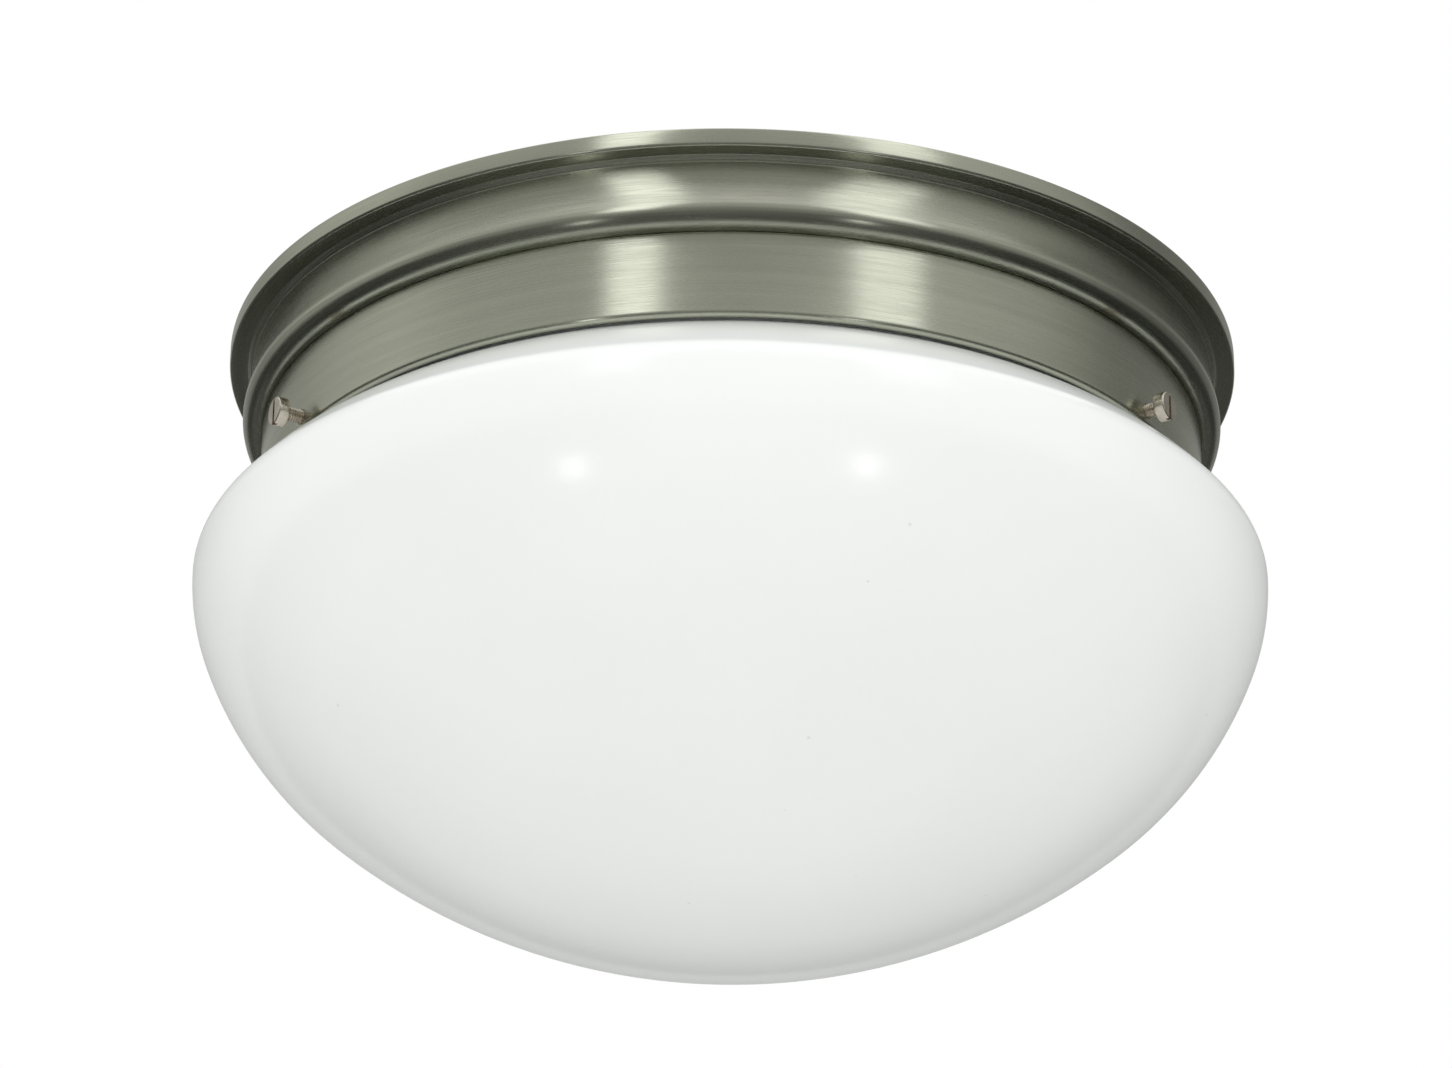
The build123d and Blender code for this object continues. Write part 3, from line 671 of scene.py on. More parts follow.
def screw_place(name, radius, height):
    """Matrix of a thumbscrew's place at a radius, facing out of the pan."""
    angle = math.radians(SCREW_ANGLES[name])
    out = Vector((math.sin(angle), -math.cos(angle), 0))
    return facing(out * radius + Vector((0, 0, -height)), out)


def finish_node(node, material):
    """Gives a carried-over node a material."""
    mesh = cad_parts[node].data
    mesh.materials.clear()
    mesh.materials.append(material)


def settle(piece, body, slot, *nodes):
    """Rides a piece on its body, in place of its nodes, which it hides; the slot is not used."""
    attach(piece, body)
    if nodes:
        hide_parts(*nodes)


# ---- Pan ----


PAN_WINDOW = 2.6  # half the height of the patch round each screw hole, in millimetres
PAN_ROWS = 8
PAN_COLUMNS = 3  # columns each side of a screw's middle
HOLE_RINGS = 3
BORE_CLEAR = 0.12 * MM  # thread's crest to the collar's bore
HEM_ROUND = 0.4 * MM  # rounding of the rim's upper edge
CORNER = 0.7 * MM  # inner radius where the lip turns in


def pan_outline(size):
    """The ring's section as one closed loop, and which of its runs are the band's two walls."""
    rim = size.radius + size.rim_out
    flare_top = size.radius + size.flare_top
    flare_foot = size.radius + size.flare_foot
    bead = rim - size.bead_in
    ledge = -size.ledge_depth
    crease = size.radius - size.crease_in
    top = -size.crease_depth - size.band_round
    screws = bpy.context.scene.ceiling_screws.height
    half = PAN_WINDOW * MM
    wall = size.radius - size.sheet
    path = Section(rim - 2 * size.sheet, -HEM_ROUND).arc(rim - 2 * size.sheet + HEM_ROUND, 0, 3)
    path.line(rim - HEM_ROUND, 0).arc(rim, -HEM_ROUND, 4).line(rim, size.rim_round + ledge, 3)
    path.arc(rim - size.rim_round, ledge, 8).line(bead + 0.3 * MM, ledge, 3)
    path.arc(bead - 0.2 * MM, ledge - 0.3 * MM, 4).line(bead - size.bead, ledge - size.bead, 2)
    path.line(flare_top + 0.4 * MM, ledge - size.bead, 1).face(-1, 0)
    path.arc(flare_top, ledge - size.bead - 0.5 * MM, 4).face(0, -1)
    path.arc(flare_foot, -size.flare_depth, 12).arc(crease, -size.crease_depth, 20)
    path.face(1, 0).arc(size.radius, top, 8).line(size.radius, half - screws, 6)
    outer = len(path.points) - 1
    path.line(size.radius, -half - screws, PAN_ROWS).line(size.radius, size.foot_round - size.depth, 1)
    path.arc(size.radius - size.foot_round, -size.depth, 8)
    path.line(size.radius - size.lip_in + 0.3 * MM, -size.depth)
    path.arc(size.radius - size.lip_in, 0.3 * MM - size.depth, 3)
    path.line(size.radius - size.lip_in, size.sheet - size.depth, 1)
    path.line(wall - CORNER, size.sheet - size.depth, 1).arc(wall, size.sheet + CORNER - size.depth, 4)
    path.line(wall, -half - screws, 1)
    inner = len(path.points) - 1
    path.line(wall, half - screws, PAN_ROWS).line(wall, top, 2)
    path.line(wall - size.crease_in, size.sheet + top, 1)
    path.line(wall - size.crease_in, size.sheet - size.crease_depth, 1)
    path.line(crease, size.sheet - size.crease_depth, 1)
    back = Section(flare_top - size.sheet, ledge - size.bead).face(0, -1)
    back.arc(flare_foot - size.sheet, -size.flare_depth, 8).arc(crease, size.sheet - size.crease_depth, 12)
    path.points += list(reversed(back.points[:-1]))
    path.line(bead - size.bead, size.sheet + ledge, 1).line(rim - size.sheet, size.sheet + ledge, 1)
    path.line(rim - size.sheet, 2 * size.sheet + ledge, 1)
    path.line(rim - 2 * size.sheet, 2 * size.sheet + ledge, 1)
    return path.points, outer, inner


def hole_patch(points, grid, steps, column, row, radius, height, hole):
    """Skin between a rectangle of the wall's grid and a round hole; gives its faces and the hole's rim."""
    left, right = column - PAN_COLUMNS, column + PAN_COLUMNS
    edge = [(row, c) for c in range(left, right)] + [(r, right) for r in range(row, row + PAN_ROWS)]
    edge += [(row + PAN_ROWS, c) for c in range(right, left, -1)]
    edge += [(r, left) for r in range(row + PAN_ROWS, row, -1)]
    outside = [grid(r, c % steps) for r, c in edge]
    middle = 2 * math.pi * column / steps
    before, faces = outside, []
    for ring in range(1, HOLE_RINGS + 1):
        share = ring / HOLE_RINGS
        now = []
        for index in outside:
            x, y, z = points[index]
            across = (math.atan2(y, x) - middle + math.pi) % (2 * math.pi) - math.pi
            dx, dz = across * radius, z - height
            far = math.hypot(dx, dz)
            scale = (1 - share) + share * hole / far
            angle = middle + dx * scale / radius
            now.append(len(points))
            points.append((radius * math.cos(angle), radius * math.sin(angle), height + dz * scale))
        n = len(now)
        faces += [(before[i], before[(i + 1) % n], now[(i + 1) % n], now[i]) for i in range(n)]
        before = now
    return faces, before


def spun_pan(size, screws):
    """Points and faces of the whole ring, with its three screw holes and their collars."""
    outline, outer, inner = pan_outline(size)
    steps, n = size.steps, len(outline)
    points = [p for r, z in outline for p in ring_at(r, z, steps)]
    holes = [round((SCREW_ANGLES[name] - 90) % 360 / 360 * steps) for name in SCREW_ANGLES]

    def grid(row, column):
        return (row % n) * steps + column % steps

    skipped = set()
    for column in holes:
        for row in range(PAN_ROWS):
            for c in range(column - PAN_COLUMNS, column + PAN_COLUMNS):
                skipped |= {(outer + row, c % steps), (inner + row, c % steps)}
    faces = []
    for row in range(n):
        for c in range(steps):
            if (row, c) not in skipped:
                faces.append((grid(row, c), grid(row, c + 1), grid(row + 1, c + 1), grid(row + 1, c)))
    bore = screws.thread + BORE_CLEAR
    collar_end = size.collar_depth / MM
    for column in holes:
        where = (points, grid, steps, column)
        made, rim = hole_patch(*where, outer, size.radius, -screws.height, bore + 0.25 * MM)
        faces += made
        wall = size.radius - size.sheet
        faces += hole_patch(*where, inner, wall, -screws.height, size.collar - 0.5 * MM)[0]
        middle = 2 * math.pi * column / steps
        out = Vector((math.cos(middle), math.sin(middle), 0))
        across = Vector((-math.sin(middle), math.cos(middle), 0))
        depths = [(0.1, bore + 0.1 * MM), (0.3, bore), (collar_end - 0.2, bore)]
        depths += [(collar_end, bore + 0.2 * MM), (collar_end, size.collar - 0.2 * MM)]
        depths += [(collar_end - 0.2, size.collar), (size.sheet / MM - 0.2, size.collar)]
        before = rim
        angles = []
        for index in rim:
            p = Vector(points[index])
            angles.append(math.atan2(p.z + screws.height, p.dot(across)))
        for depth, radius in depths:
            now = []
            for angle in angles:
                p = out * (size.radius - depth * MM) + across * (radius * math.cos(angle))
                now.append(len(points))
                points.append((p.x, p.y, radius * math.sin(angle) - screws.height))
            k = len(now)
            faces += [(before[i], before[(i + 1) % k], now[(i + 1) % k], now[i]) for i in range(k)]
            before = now
    return points, faces


class BuildPan(bpy.types.Operator):
    """Spun nickel ring, with its holes for the thumbscrews"""

    bl_idname = "ceiling.build_pan"
    bl_label = "Build pan"

    def execute(self, context):
        scene = context.scene
        points, faces = spun_pan(scene.ceiling_pan, scene.ceiling_screws)
        mesh = make_mesh("spun_pan", points, faces, 32)
        piece = new_piece("spun_pan", mesh, brushed_nickel(tuple(scene.ceiling_finishes.nickel)))
        settle(piece, "root", "pan_metal", "pan_ring")
        return {"FINISHED"}


# ---- Glass ----


EDGE_ARC = (9.0, 40.8)  # radius in millimetres and turn in degrees of each arc of the bowl's side
SIDE_ARC = (52.2, 20.4)
FLANK_ARC = (97.8, 29.3)


def bowl_side(size, inset):
    """Side of the bowl from the neck to the pole, as the outer face or a parallel inner one."""
    slope = math.radians(size.shoulder_slope)
    edge, turn = EDGE_ARC[0] * MM, math.radians(EDGE_ARC[1])
    swell = size.radius - size.groove_radius - edge * (1 - math.cos(turn))
    shoulder = swell / (math.cos(turn) - math.sin(slope))
    start = (size.groove_radius - inset * math.sin(slope), -size.shoulder_depth - inset * math.cos(slope))
    path = Section(*start).face(math.cos(slope), -math.sin(slope))
    path.turn(shoulder - inset, -(90 - EDGE_ARC[1] - size.shoulder_slope), 20)
    for (radius, degrees), pieces in ((EDGE_ARC, 16), (SIDE_ARC, 12), (FLANK_ARC, 20)):
        path.turn(radius * MM - inset, -degrees, pieces)
    left = 90 - SIDE_ARC[1] - FLANK_ARC[1]
    path.turn(path.points[-1][0] / math.sin(math.radians(left)), -left, 36)
    path.points[-1] = (0.0, path.points[-1][1])
    return path.points


def bowl_outline(size):
    """Whole section of the bowl, from the outer pole over the lip to the inner pole."""
    bore = size.groove_radius - size.wall
    foot = size.groove_height - size.shoulder_depth
    top = foot + size.lip_height
    lip = Section(size.groove_radius, -size.shoulder_depth).line(size.groove_radius, foot - 0.5 * MM, 4)
    lip.arc(size.groove_radius + 0.5 * MM, foot, 4).line(size.lip_radius - size.lip_round, foot, 1)
    lip.arc(size.lip_radius, foot + size.lip_round, 8).line(size.lip_radius, top - size.lip_round, 2)
    lip.arc(size.lip_radius - size.lip_round, top, 8).line(bore + 0.6 * MM, top, 2)
    lip.arc(bore, top - 0.6 * MM, 5)
    inner = bowl_side(size, size.wall)
    meet = inner[0][1] + (inner[0][0] - bore) * math.sin(math.radians(size.shoulder_slope))
    lip.line(bore, meet, 5)
    return list(reversed(bowl_side(size, 0.0)))[:-1] + lip.points + inner


class BuildGlass(bpy.types.Operator):
    """Opal glass bowl with its rolled lip"""

    bl_idname = "ceiling.build_glass"
    bl_label = "Build glass"

    def execute(self, context):
        scene = context.scene
        points, faces = lathe(bowl_outline(scene.ceiling_glass), scene.ceiling_glass.steps)
        mesh = make_mesh("opal_bowl", points, faces, 50)
        piece = new_piece("opal_bowl", mesh, opal_glass(tuple(scene.ceiling_finishes.opal)))
        settle(piece, "shade", "opal_glass", "glass_shade")
        return {"FINISHED"}


# ---- Screws ----


THREAD_DEPTH = 0.43 * MM
PIN_BORE = (0.9 * MM, 0.6 * MM)  # radius and depth of the hole for the nylon tip's pin
HEAD_SLOT = (0.55 * MM, 1.1 * MM)  # half the slot's width, and its depth
SHANK_STEPS = 48


def screw_head(size, steps=96):
    """Rings of a thumbscrew's head from its underside to its face, along +Z, with turned edges."""
    top, edge = size.head_height, 0.5 * MM
    path = Section(size.thread + 0.2 * MM, 0.0).line(size.head - edge, 0.0, 2)
    path.arc(size.head, edge, 6).line(size.head, top - edge, 3).arc(size.head - edge, top, 6)
    path.line(size.head * 0.5, top, 2)
    return [ring_at(r, z, steps) for r, z in path.points] + [[(0.0, 0.0, top)]]


def thumbscrew_mesh(size):
    """Thumbscrew along +Z, with z = 0 under its head and its thread below."""
    root, steps = size.thread - THREAD_DEPTH, SHANK_STEPS
    bore, deep = PIN_BORE
    thread = thread_rings(size.thread, root, 0.4 * MM - size.shank, -0.5 * MM, size.pitch, steps, 10)
    pin_hole = [ring_at(0.0, deep - size.shank, steps), ring_at(bore, deep - size.shank, steps)]
    tip = [ring_at(bore, -size.shank, steps), ring_at(root - 0.3 * MM, -size.shank, steps)]
    tip += [ring_at(root, 0.3 * MM - size.shank, steps)]
    neck = [ring_at(size.thread - 0.2 * MM, -0.3 * MM, steps)]
    neck += [ring_at(size.thread + 0.3 * MM, 0.06 * MM, steps), ring_at(0.0, 0.06 * MM, steps)]
    shank = skin(pin_hole + tip + thread + neck)
    head = skin([[(0.0, 0.0, 0.0)]] + screw_head(size))
    return shank, head


class BuildThumbscrews(bpy.types.Operator):
    """Slotted thumbscrews with cut threads"""

    bl_idname = "ceiling.build_thumbscrews"
    bl_label = "Build thumbscrews"

    def execute(self, context):
        scene = context.scene
        size = scene.ceiling_screws
        material = plated_metal("screw_nickel", tuple(scene.ceiling_finishes.screw_nickel), 0.24, 0.8)
        nylon = moulded_plastic("tip_nylon", (0.74, 0.73, 0.66), 0.4)
        for name in SCREW_ANGLES:
            shank, head = thumbscrew_mesh(size)
            underside = scene.ceiling_pan.radius + getattr(size, "exposed_" + name)
            place = screw_place(name, underside, size.height)
            piece = new_piece("thumbscrew_" + name + "_cut", make_mesh("head", *head, 38), material)
            half, deep = HEAD_SLOT
            slot = box_mesh(
                (-2 * size.head, -half, size.head_height - deep),
                (2 * size.head, half, 2 * size.head_height),
            )
            cut(piece, slot)
            self.join(piece, make_mesh("shank", *shank, 50))
            dress(piece, material, place)
            settle(piece, "thumbscrew_" + name, "thumb_nickel", "thumbscrew_" + name)
            finish_node("screw_tip_" + name, nylon)
        return {"FINISHED"}

    @staticmethod
    def join(piece, mesh):
        """Adds a mesh's faces to a piece."""
        form = bmesh.new()
        form.from_mesh(piece.data)
        form.from_mesh(mesh)
        form.to_mesh(piece.data)
        form.free()
        piece.data.polygons.foreach_set("use_smooth", [True] * len(piece.data.polygons))
        piece.data.set_sharp_from_angle(angle=math.radians(35))


# ---- Lamps and lampholders ----


LAMP_AXIS = (37.0, -50.0)  # the first lamp's, across and up, in millimetres; the second is turned half round
SOCKET_FLOOR = -49.0  # where the threaded shell starts, along the lamp's axis
TUBE_STEPS = 96
# wall, foot, the thread's ends and mouth: radius and height above the floor, in millimetres
SHELL_FORM = (0.45, [(8.4, 0.0), (12.6, 0.0), (13.0, 0.4)], (1.2, 21.6), [(13.0, 22.2), (13.3, 23.0)])
BASE_FORM = (
    0.4,
    [(8.8, 8.9), (10.6, 10.6), (12.2, 12.9)],
    (13.2, 27.6),
    [(12.6, 28.4), (12.9, 30.6), (13.1, 31.3)],
)
LAMP_WALL = 0.8 * MM
GLOBE_TURN = 125  # degrees of the globe's arc from its pole
BEND_TURN = GLOBE_TURN - 90
NECK_END = 23.3 * MM
NECK_STEP = 0.9 * MM  # how much narrower the neck is inside the base


def lamp_place(side, depth=SOCKET_FLOOR):
    """Matrix on a lamp's axis, facing out of its lampholder."""
    axes = Matrix(((0, 1, 0), (0, 0, 1), (1, 0, 0))).transposed().to_4x4()
    place = Matrix.Translation(Vector((depth, *LAMP_AXIS)) * MM) @ axes
    return place if side == "a" else Matrix.Rotation(math.pi, 4, "Z") @ place


def rolled_tube(size, crest, wall, foot, thread, mouth):
    """Thin metal tube with a rolled thread between two heights, and outlines for its foot and mouth.

    All but the crest are in millimetres.
    """
    settings = {"pitch": size.pitch, "steps": TUBE_STEPS, "rows": 14, "rounded": True}
    low, high = (height * MM for height in thread)
    root = crest - size.thread
    outside = thread_rings(crest, root, low, high, **settings)
    inside = thread_rings(crest - wall * MM, root - wall * MM, low, high, **settings)
    (eye, floor), *rise = foot
    inner_foot = [(eye, floor + wall)] + [(r - wall, z + wall) for r, z in rise]
    inner_mouth = [(r - wall, z) for r, z in mouth]
    outer_rings = rings_of(foot, TUBE_STEPS) + outside + rings_of(mouth, TUBE_STEPS)
    inner_rings = rings_of(inner_foot, TUBE_STEPS) + inside + rings_of(inner_mouth, TUBE_STEPS)
    return skin(outer_rings + inner_rings[::-1], closed=True)


def lamp_side(size, inset):
    """Side of the lamp's pear from its pole to the end of its neck inside the base."""
    globe = size.envelope - inset
    side = Section(0.0, size.top - inset).turn(globe, -GLOBE_TURN, 44)
    bend = size.neck_bend + inset
    r = side.points[-1][0]
    lean = math.radians(BEND_TURN)
    run = (r - (size.neck - inset) - bend * (1 - math.cos(lean))) / math.sin(lean)
    u, v = side.heading
    side.line(r + u * run, side.points[-1][1] + v * run, 4).turn(bend, BEND_TURN, 16)
    r, z = side.points[-1]
    side.line(size.neck - inset, z - 2.0 * MM, 1)
    throat = size.neck - NECK_STEP - inset
    side.line(throat, z - 4.5 * MM, 3).line(throat, NECK_END, 2)
    return side.points


class BuildLamps(bpy.types.Operator):
    """Frosted lamps, and the rolled threads of their bases and of the shells that hold them"""

    bl_idname = "ceiling.build_lamps"
    bl_label = "Build lamps"

    def execute(self, context):
        scene = context.scene
        size = scene.ceiling_lamps
        drawn = plated_metal("drawn_aluminium", (0.72, 0.72, 0.7), 0.3, 0.6)
        frost = frosted_glass("lamp_frost", (0.88, 0.88, 0.86))
        for side in SIDES:
            place = lamp_place(side)
            outline = lamp_side(size, 0.0) + lamp_side(size, LAMP_WALL)[::-1]
            shell = make_mesh("shell", *rolled_tube(size, size.shell, *SHELL_FORM), 60)
            base = make_mesh("base", *rolled_tube(size, size.base, *BASE_FORM), 60)
            pear = make_mesh("pear", *lathe(outline, 128), 50)
            for node, ending, mesh, material, body, slot in (
                ("screw_shell_", "_rolled", shell, drawn, "root", "shell_metal"),
                ("lamp_base_", "_rolled", base, drawn, "lamp_" + side, "lamp_base_metal"),
                ("lamp_envelope_", "_blown", pear, frost, "lamp_" + side, "lamp_glass"),
            ):
                piece = new_piece(node + side + ending, mesh, material, place)
                settle(piece, body, slot, node + side)
        return {"FINISHED"}


# ---- Small screws, connectors and insulation ----


# head's radius and height, shank's radius and length, and the thread's pitch, in millimetres
MACHINE_SCREW = (4.0, 2.6, 2.0, 12.0, 0.794)
GROUND_SCREW = (4.0, 2.6, 2.0, 2.2, 0.794)
SOCKET_SCREW = (2.8, 1.8, 1.5, 7.0, 0.5)
# undersides of the heads, in millimetres; the lampholders' are measured from the lamp's axis
HANGING_SPOTS = ((-50.8, 0.0, -12.2), (50.8, 0.0, -12.2))
GROUND_SPOTS = ((22.0, 0.0, -2.4),)
SOCKET_SPOTS = ((0.0, -6.5, 0.0), (0.0, 6.5, 0.0))
SOCKET_BACK = -61.2  # where the lampholder's screws bear, along the lamp's axis
NUT_MOUTH = (21.0, -5.8)  # the connectors' mouths, across and up, in millimetres


def slotted_screw(head, head_height, shank, length, pitch, steps=40):
    """Pan head below z = 0 and cut thread above it."""
    root = shank * 0.8
    edge = min(0.8 * MM, head_height / 3)
    path = Section(0.0, -head_height).line(head * 0.5, -head_height, 1).line(head - edge, -head_height, 1)
    path.arc(head, edge - head_height, 6).line(head, -0.15 * MM, 1).line(head - 0.15 * MM, 0.0, 1)
    rings = [ring_at(r, z, steps) for r, z in path.points]
    low, high = 0.5 * MM, length - 0.5 * MM
    if high > low + pitch:
        rings += [ring_at(shank, 0.0, steps)]
        rings += thread_rings(shank, root, low, high, pitch, steps, fade=pitch * 0.6)
    else:
        rings += [ring_at(shank, 0.0, steps), ring_at(shank, high, steps)]
    rings += [ring_at(root, length - 0.3 * MM, steps), ring_at(root * 0.8, length, steps)]
    rings += [ring_at(0.0, length, steps)]
    return make_mesh("screw", *skin(rings), 40)


class BuildSmallScrews(bpy.types.Operator):
    """Slotted machine screws of the strap, the ground lead and the lampholders"""

    bl_idname = "ceiling.build_small_screws"
    bl_label = "Build small screws"

    def execute(self, context):
        bright = plated_metal("bright_zinc", (0.66, 0.67, 0.69), 0.28, 0.6)
        green = plated_metal("green_plate", (0.03, 0.3, 0.09), 0.32, 0.6)
        self.build("fixture_screws", MACHINE_SCREW, bright, "fastener_steel", HANGING_SPOTS)
        self.build("ground_screw", GROUND_SCREW, green, "green_screw", GROUND_SPOTS)
        for side in SIDES:
            back = lamp_place(side, SOCKET_BACK)
            self.build("socket_screws_" + side, SOCKET_SCREW, bright, "fastener_steel", SOCKET_SPOTS, back)
        return {"FINISHED"}

    @staticmethod
    def build(node, sizes, material, slot, spots, origin=None):
        """The screws of one node, each with a slot across its head, at spots from an origin."""
        head, head_height, shank, length, pitch = (size * MM for size in sizes)
        for index, spot in enumerate(spots):
            place = Matrix.Translation(Vector(spot) * MM)
            mesh = slotted_screw(head, head_height, shank, length, pitch)
            piece = new_piece(f"{node}_{index + 1}_cut", mesh, material)
            width, deep = (1.1, 0.55) if head > 3 * MM else (0.8, 0.5)
            low = (-2 * head, -width / 2 * MM, -2 * head_height)
            cut(piece, box_mesh(low, (2 * head, width / 2 * MM, deep * MM - head_height)))
            dress(piece, material, origin @ place if origin else place)
            settle(piece, "root", slot, node)


class BuildConnectors(bpy.types.Operator):
    """Ribbed twist-on connectors over the ends of the leads"""

    bl_idname = "ceiling.build_connectors"
    bl_label = "Build connectors"

    def execute(self, context):
        plastic = moulded_plastic("nut_plastic", (0.75, 0.2, 0.02), 0.4)
        across, up = NUT_MOUTH
        for name, way in (("black", -1), ("white", 1)):
            place = facing((0, way * across * MM, up * MM), (0, way, 0))
            piece = new_piece(name + "_connector", make_mesh("nut", *self.form(), 35), plastic, place)
            settle(piece, "root", "nut_plastic", name + "_wire_nut")
        return {"FINISHED"}

    @staticmethod
    def form(ribs=16, steps=192):
        """Cone with moulded ribs, a plain skirt and a bored mouth."""
        long, mouth, tip = 17.0 * MM, 5.0 * MM, 3.6 * MM
        skirt, rib_end, fade = 0.2, 0.93, 0.06  # shares of the length
        rows, body_share, rib_depth = 34, 0.97, 0.42 * MM
        rings = []
        for row in range(1, rows - 1):
            z = long * row / rows * body_share
            share = z / long
            strength = min(1.0, max(0.0, (share - skirt) / fade), max(0.0, (rib_end - share) / fade))

            def wave(angle, strength=strength):
                return -rib_depth * strength * (0.5 - 0.5 * math.cos(ribs * angle)) ** 0.6

            rings.append(ring_at(mouth + (tip - mouth) * share, z, steps, wave))
        rings += [ring_at(tip - 0.5 * MM, long - 0.1 * MM, steps), ring_at(tip - 1.2 * MM, long, steps)]
        rings += [ring_at(0.0, long, steps)]
        cavity = [(0.0, 14.0), (2.9, 14.0), (4.1, 0.3), (4.4, 0.0), (4.8, 0.0)]
        return skin(rings_of(cavity, steps) + rings)


class BuildInsulation(bpy.types.Operator):
    """Tufted glass-fibre blanket over the back plate"""

    bl_idname = "ceiling.build_insulation"
    bl_label = "Build insulation"

    def execute(self, context):
        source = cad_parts["insulation_pad"]
        mesh = source.data.copy()
        mesh.transform(source.matrix_world)
        fibre = glass_fibre(tuple(context.scene.ceiling_finishes.fibre))
        piece = new_piece("insulation_blanket", mesh, fibre)
        remesh = piece.modifiers.new("remesh", "REMESH")
        remesh.mode = "VOXEL"
        remesh.voxel_size = 1.1 * MM
        graph = bpy.context.evaluated_depsgraph_get()
        piece.data = bpy.data.meshes.new_from_object(piece.evaluated_get(graph))
        piece.modifiers.clear()
        self.tuft(piece.data)
        dress(piece, fibre)
        settle(piece, "root", "pad_fibre", "insulation_pad")
        return {"FINISHED"}

    @staticmethod
    def tuft(mesh):
        """Pulls the surface in by up to a millimetre, in lumps with finer tufts on them."""
        moved = []
        for vertex in mesh.vertices:
            lumps = 0.5 + 0.5 * noise.noise(vertex.co * 90)
            tufts = 0.5 + 0.5 * noise.noise(vertex.co * 420)
            moved.append(vertex.co - vertex.normal * ((0.6 * lumps + 0.4 * tufts) * MM))
        for vertex, place in zip(mesh.vertices, moved):
            vertex.co = place
        mesh.polygons.foreach_set("use_smooth", [True] * len(mesh.polygons))


# ---- Carried-over nodes ----


class FinishInside(bpy.types.Operator):
    """Finishes of the pieces inside the pan"""

    bl_idname = "ceiling.finish_inside"
    bl_label = "Finish inside"

    def execute(self, context):
        tones = context.scene.ceiling_finishes
        zinc = spangled_zinc(tuple(tones.zinc))
        rivets = plated_metal("rivet_aluminium", (0.68, 0.69, 0.7), 0.28, 0.6)
        finishes = {
            "back_plate": zinc,
            "mounting_strap": plated_metal("yellow_zinc", tuple(tones.yellow_zinc), 0.34, 0.3),
            "ground_lugs": plated_metal("tinned_copper", (0.62, 0.58, 0.52), 0.3, 0.6),
            "ground_wire": moulded_plastic("green_insulation", (0.02, 0.2, 0.05), 0.4),
            "ground_rivet": rivets,
            "wire_bushing": moulded_plastic("bushing_nylon", (0.02, 0.02, 0.02), 0.42),
            "bracket_rivets": rivets,
        }
        black = moulded_plastic("black_insulation", (0.015, 0.015, 0.016), 0.38)
        white = moulded_plastic("white_insulation", (0.75, 0.75, 0.72), 0.42)
        porcelain = glazed_porcelain(tuple(tones.porcelain))
        brass = plated_metal("contact_brass", (0.75, 0.53, 0.22), 0.3, 0.8)
        vitrite = frosted_glass("black_glass", (0.012, 0.012, 0.014), 0.2)
        solder = plated_metal("tinned_brass", (0.66, 0.62, 0.55), 0.34, 0.8)
        for side in SIDES:
            finishes |= {
                "white_lead_" + side: white,
                "black_lead_" + side: black,
                "socket_body_" + side: porcelain,
                "centre_contact_" + side: brass,
                "socket_bracket_" + side: zinc,
                "lamp_insulator_" + side: vitrite,
                "lamp_eyelet_" + side: solder,
            }
        for node, material in finishes.items():
            finish_node(node, material)
        return {"FINISHED"}


# ---- Studio ----


CARD_RADIUS = 3.4  # metres
CARD_TOP = 4.2  # heights in metres of the cards' top, joints and foot, and of their floor
HORIZON = -0.1
LOW_JOINT = -1.25
CARD_FOOT = -1.69
CARD_FLOOR = -1.7
LIGHT_MIDDLE = Vector((0, 0, -0.08))  # point that the lamps face
CARD_TINT = (0.98, 1.0, 0.95)
FLOOR_TONE = (0.95, 0.95, 0.95)
FLOOR_GLOW = 0.35


def stage_piece(name, rings, material):
    """Skin over rings that belongs to the room and not to the light."""
    points, faces = skin(rings)
    mesh = bpy.data.meshes.new(name)
    mesh.from_pydata(points, [], faces)
    piece = new_piece(name, mesh, material)
    return piece


def soft_box(name, azimuth, elevation, width, height, radiance, lean=0.0, distance=2.4):
    """Area lamp that faces the light from an azimuth and an elevation, as bright as a radiance says."""
    lamp = bpy.data.lights.new(name, "AREA")
    lamp.shape = "RECTANGLE"
    lamp.size, lamp.size_y = width, height
    lamp.energy = radiance * math.pi * width * height
    item = bpy.data.objects.new(name, lamp)
    a, e = math.radians(azimuth), math.radians(elevation)
    out = Vector((math.sin(a) * math.cos(e), -math.cos(a) * math.cos(e), math.sin(e)))
    item.location = out * distance + LIGHT_MIDDLE
    item.rotation_mode = "QUATERNION"
    item.rotation_quaternion = (-out).to_track_quat("-Z", "Y") @ Quaternion((0, 0, 1), math.radians(lean))
    item.visible_camera = False
    bpy.context.scene.collection.objects.link(item)


def reflector_card(name, low, high, stops):
    """Card right round the room between two heights, whose greys go by the direction from the light.

    Only reflections see it. The stops run from -180 to 180 degrees, and 0 is the front.
    """
    material, shader = new_shader(name)
    x, y, z = shader.place()
    angle = x.math("ARCTAN2", x, y * -1.0) / (2 * math.pi) + 0.5
    greys = [((degrees + 180) / 360, scaled(CARD_TINT, grey)) for degrees, grey in stops]
    tone = shader.add("ShaderNodeValToRGB", {"stops": greys}, {0: angle})
    glow = shader.add("ShaderNodeEmission", None, {"Color": tone, "Strength": 1.0})
    shader.add("ShaderNodeOutputMaterial", None, {"Surface": glow})
    material.cycles.emission_sampling = "NONE"
    rings = [ring_at(CARD_RADIUS if z > CARD_FLOOR else 0.0, z, 96) for z in (low, high)]
    card = stage_piece(name, rings, material)
    card.visible_camera = False
    card.visible_diffuse = False
    card.visible_shadow = False
    card.visible_transmission = False


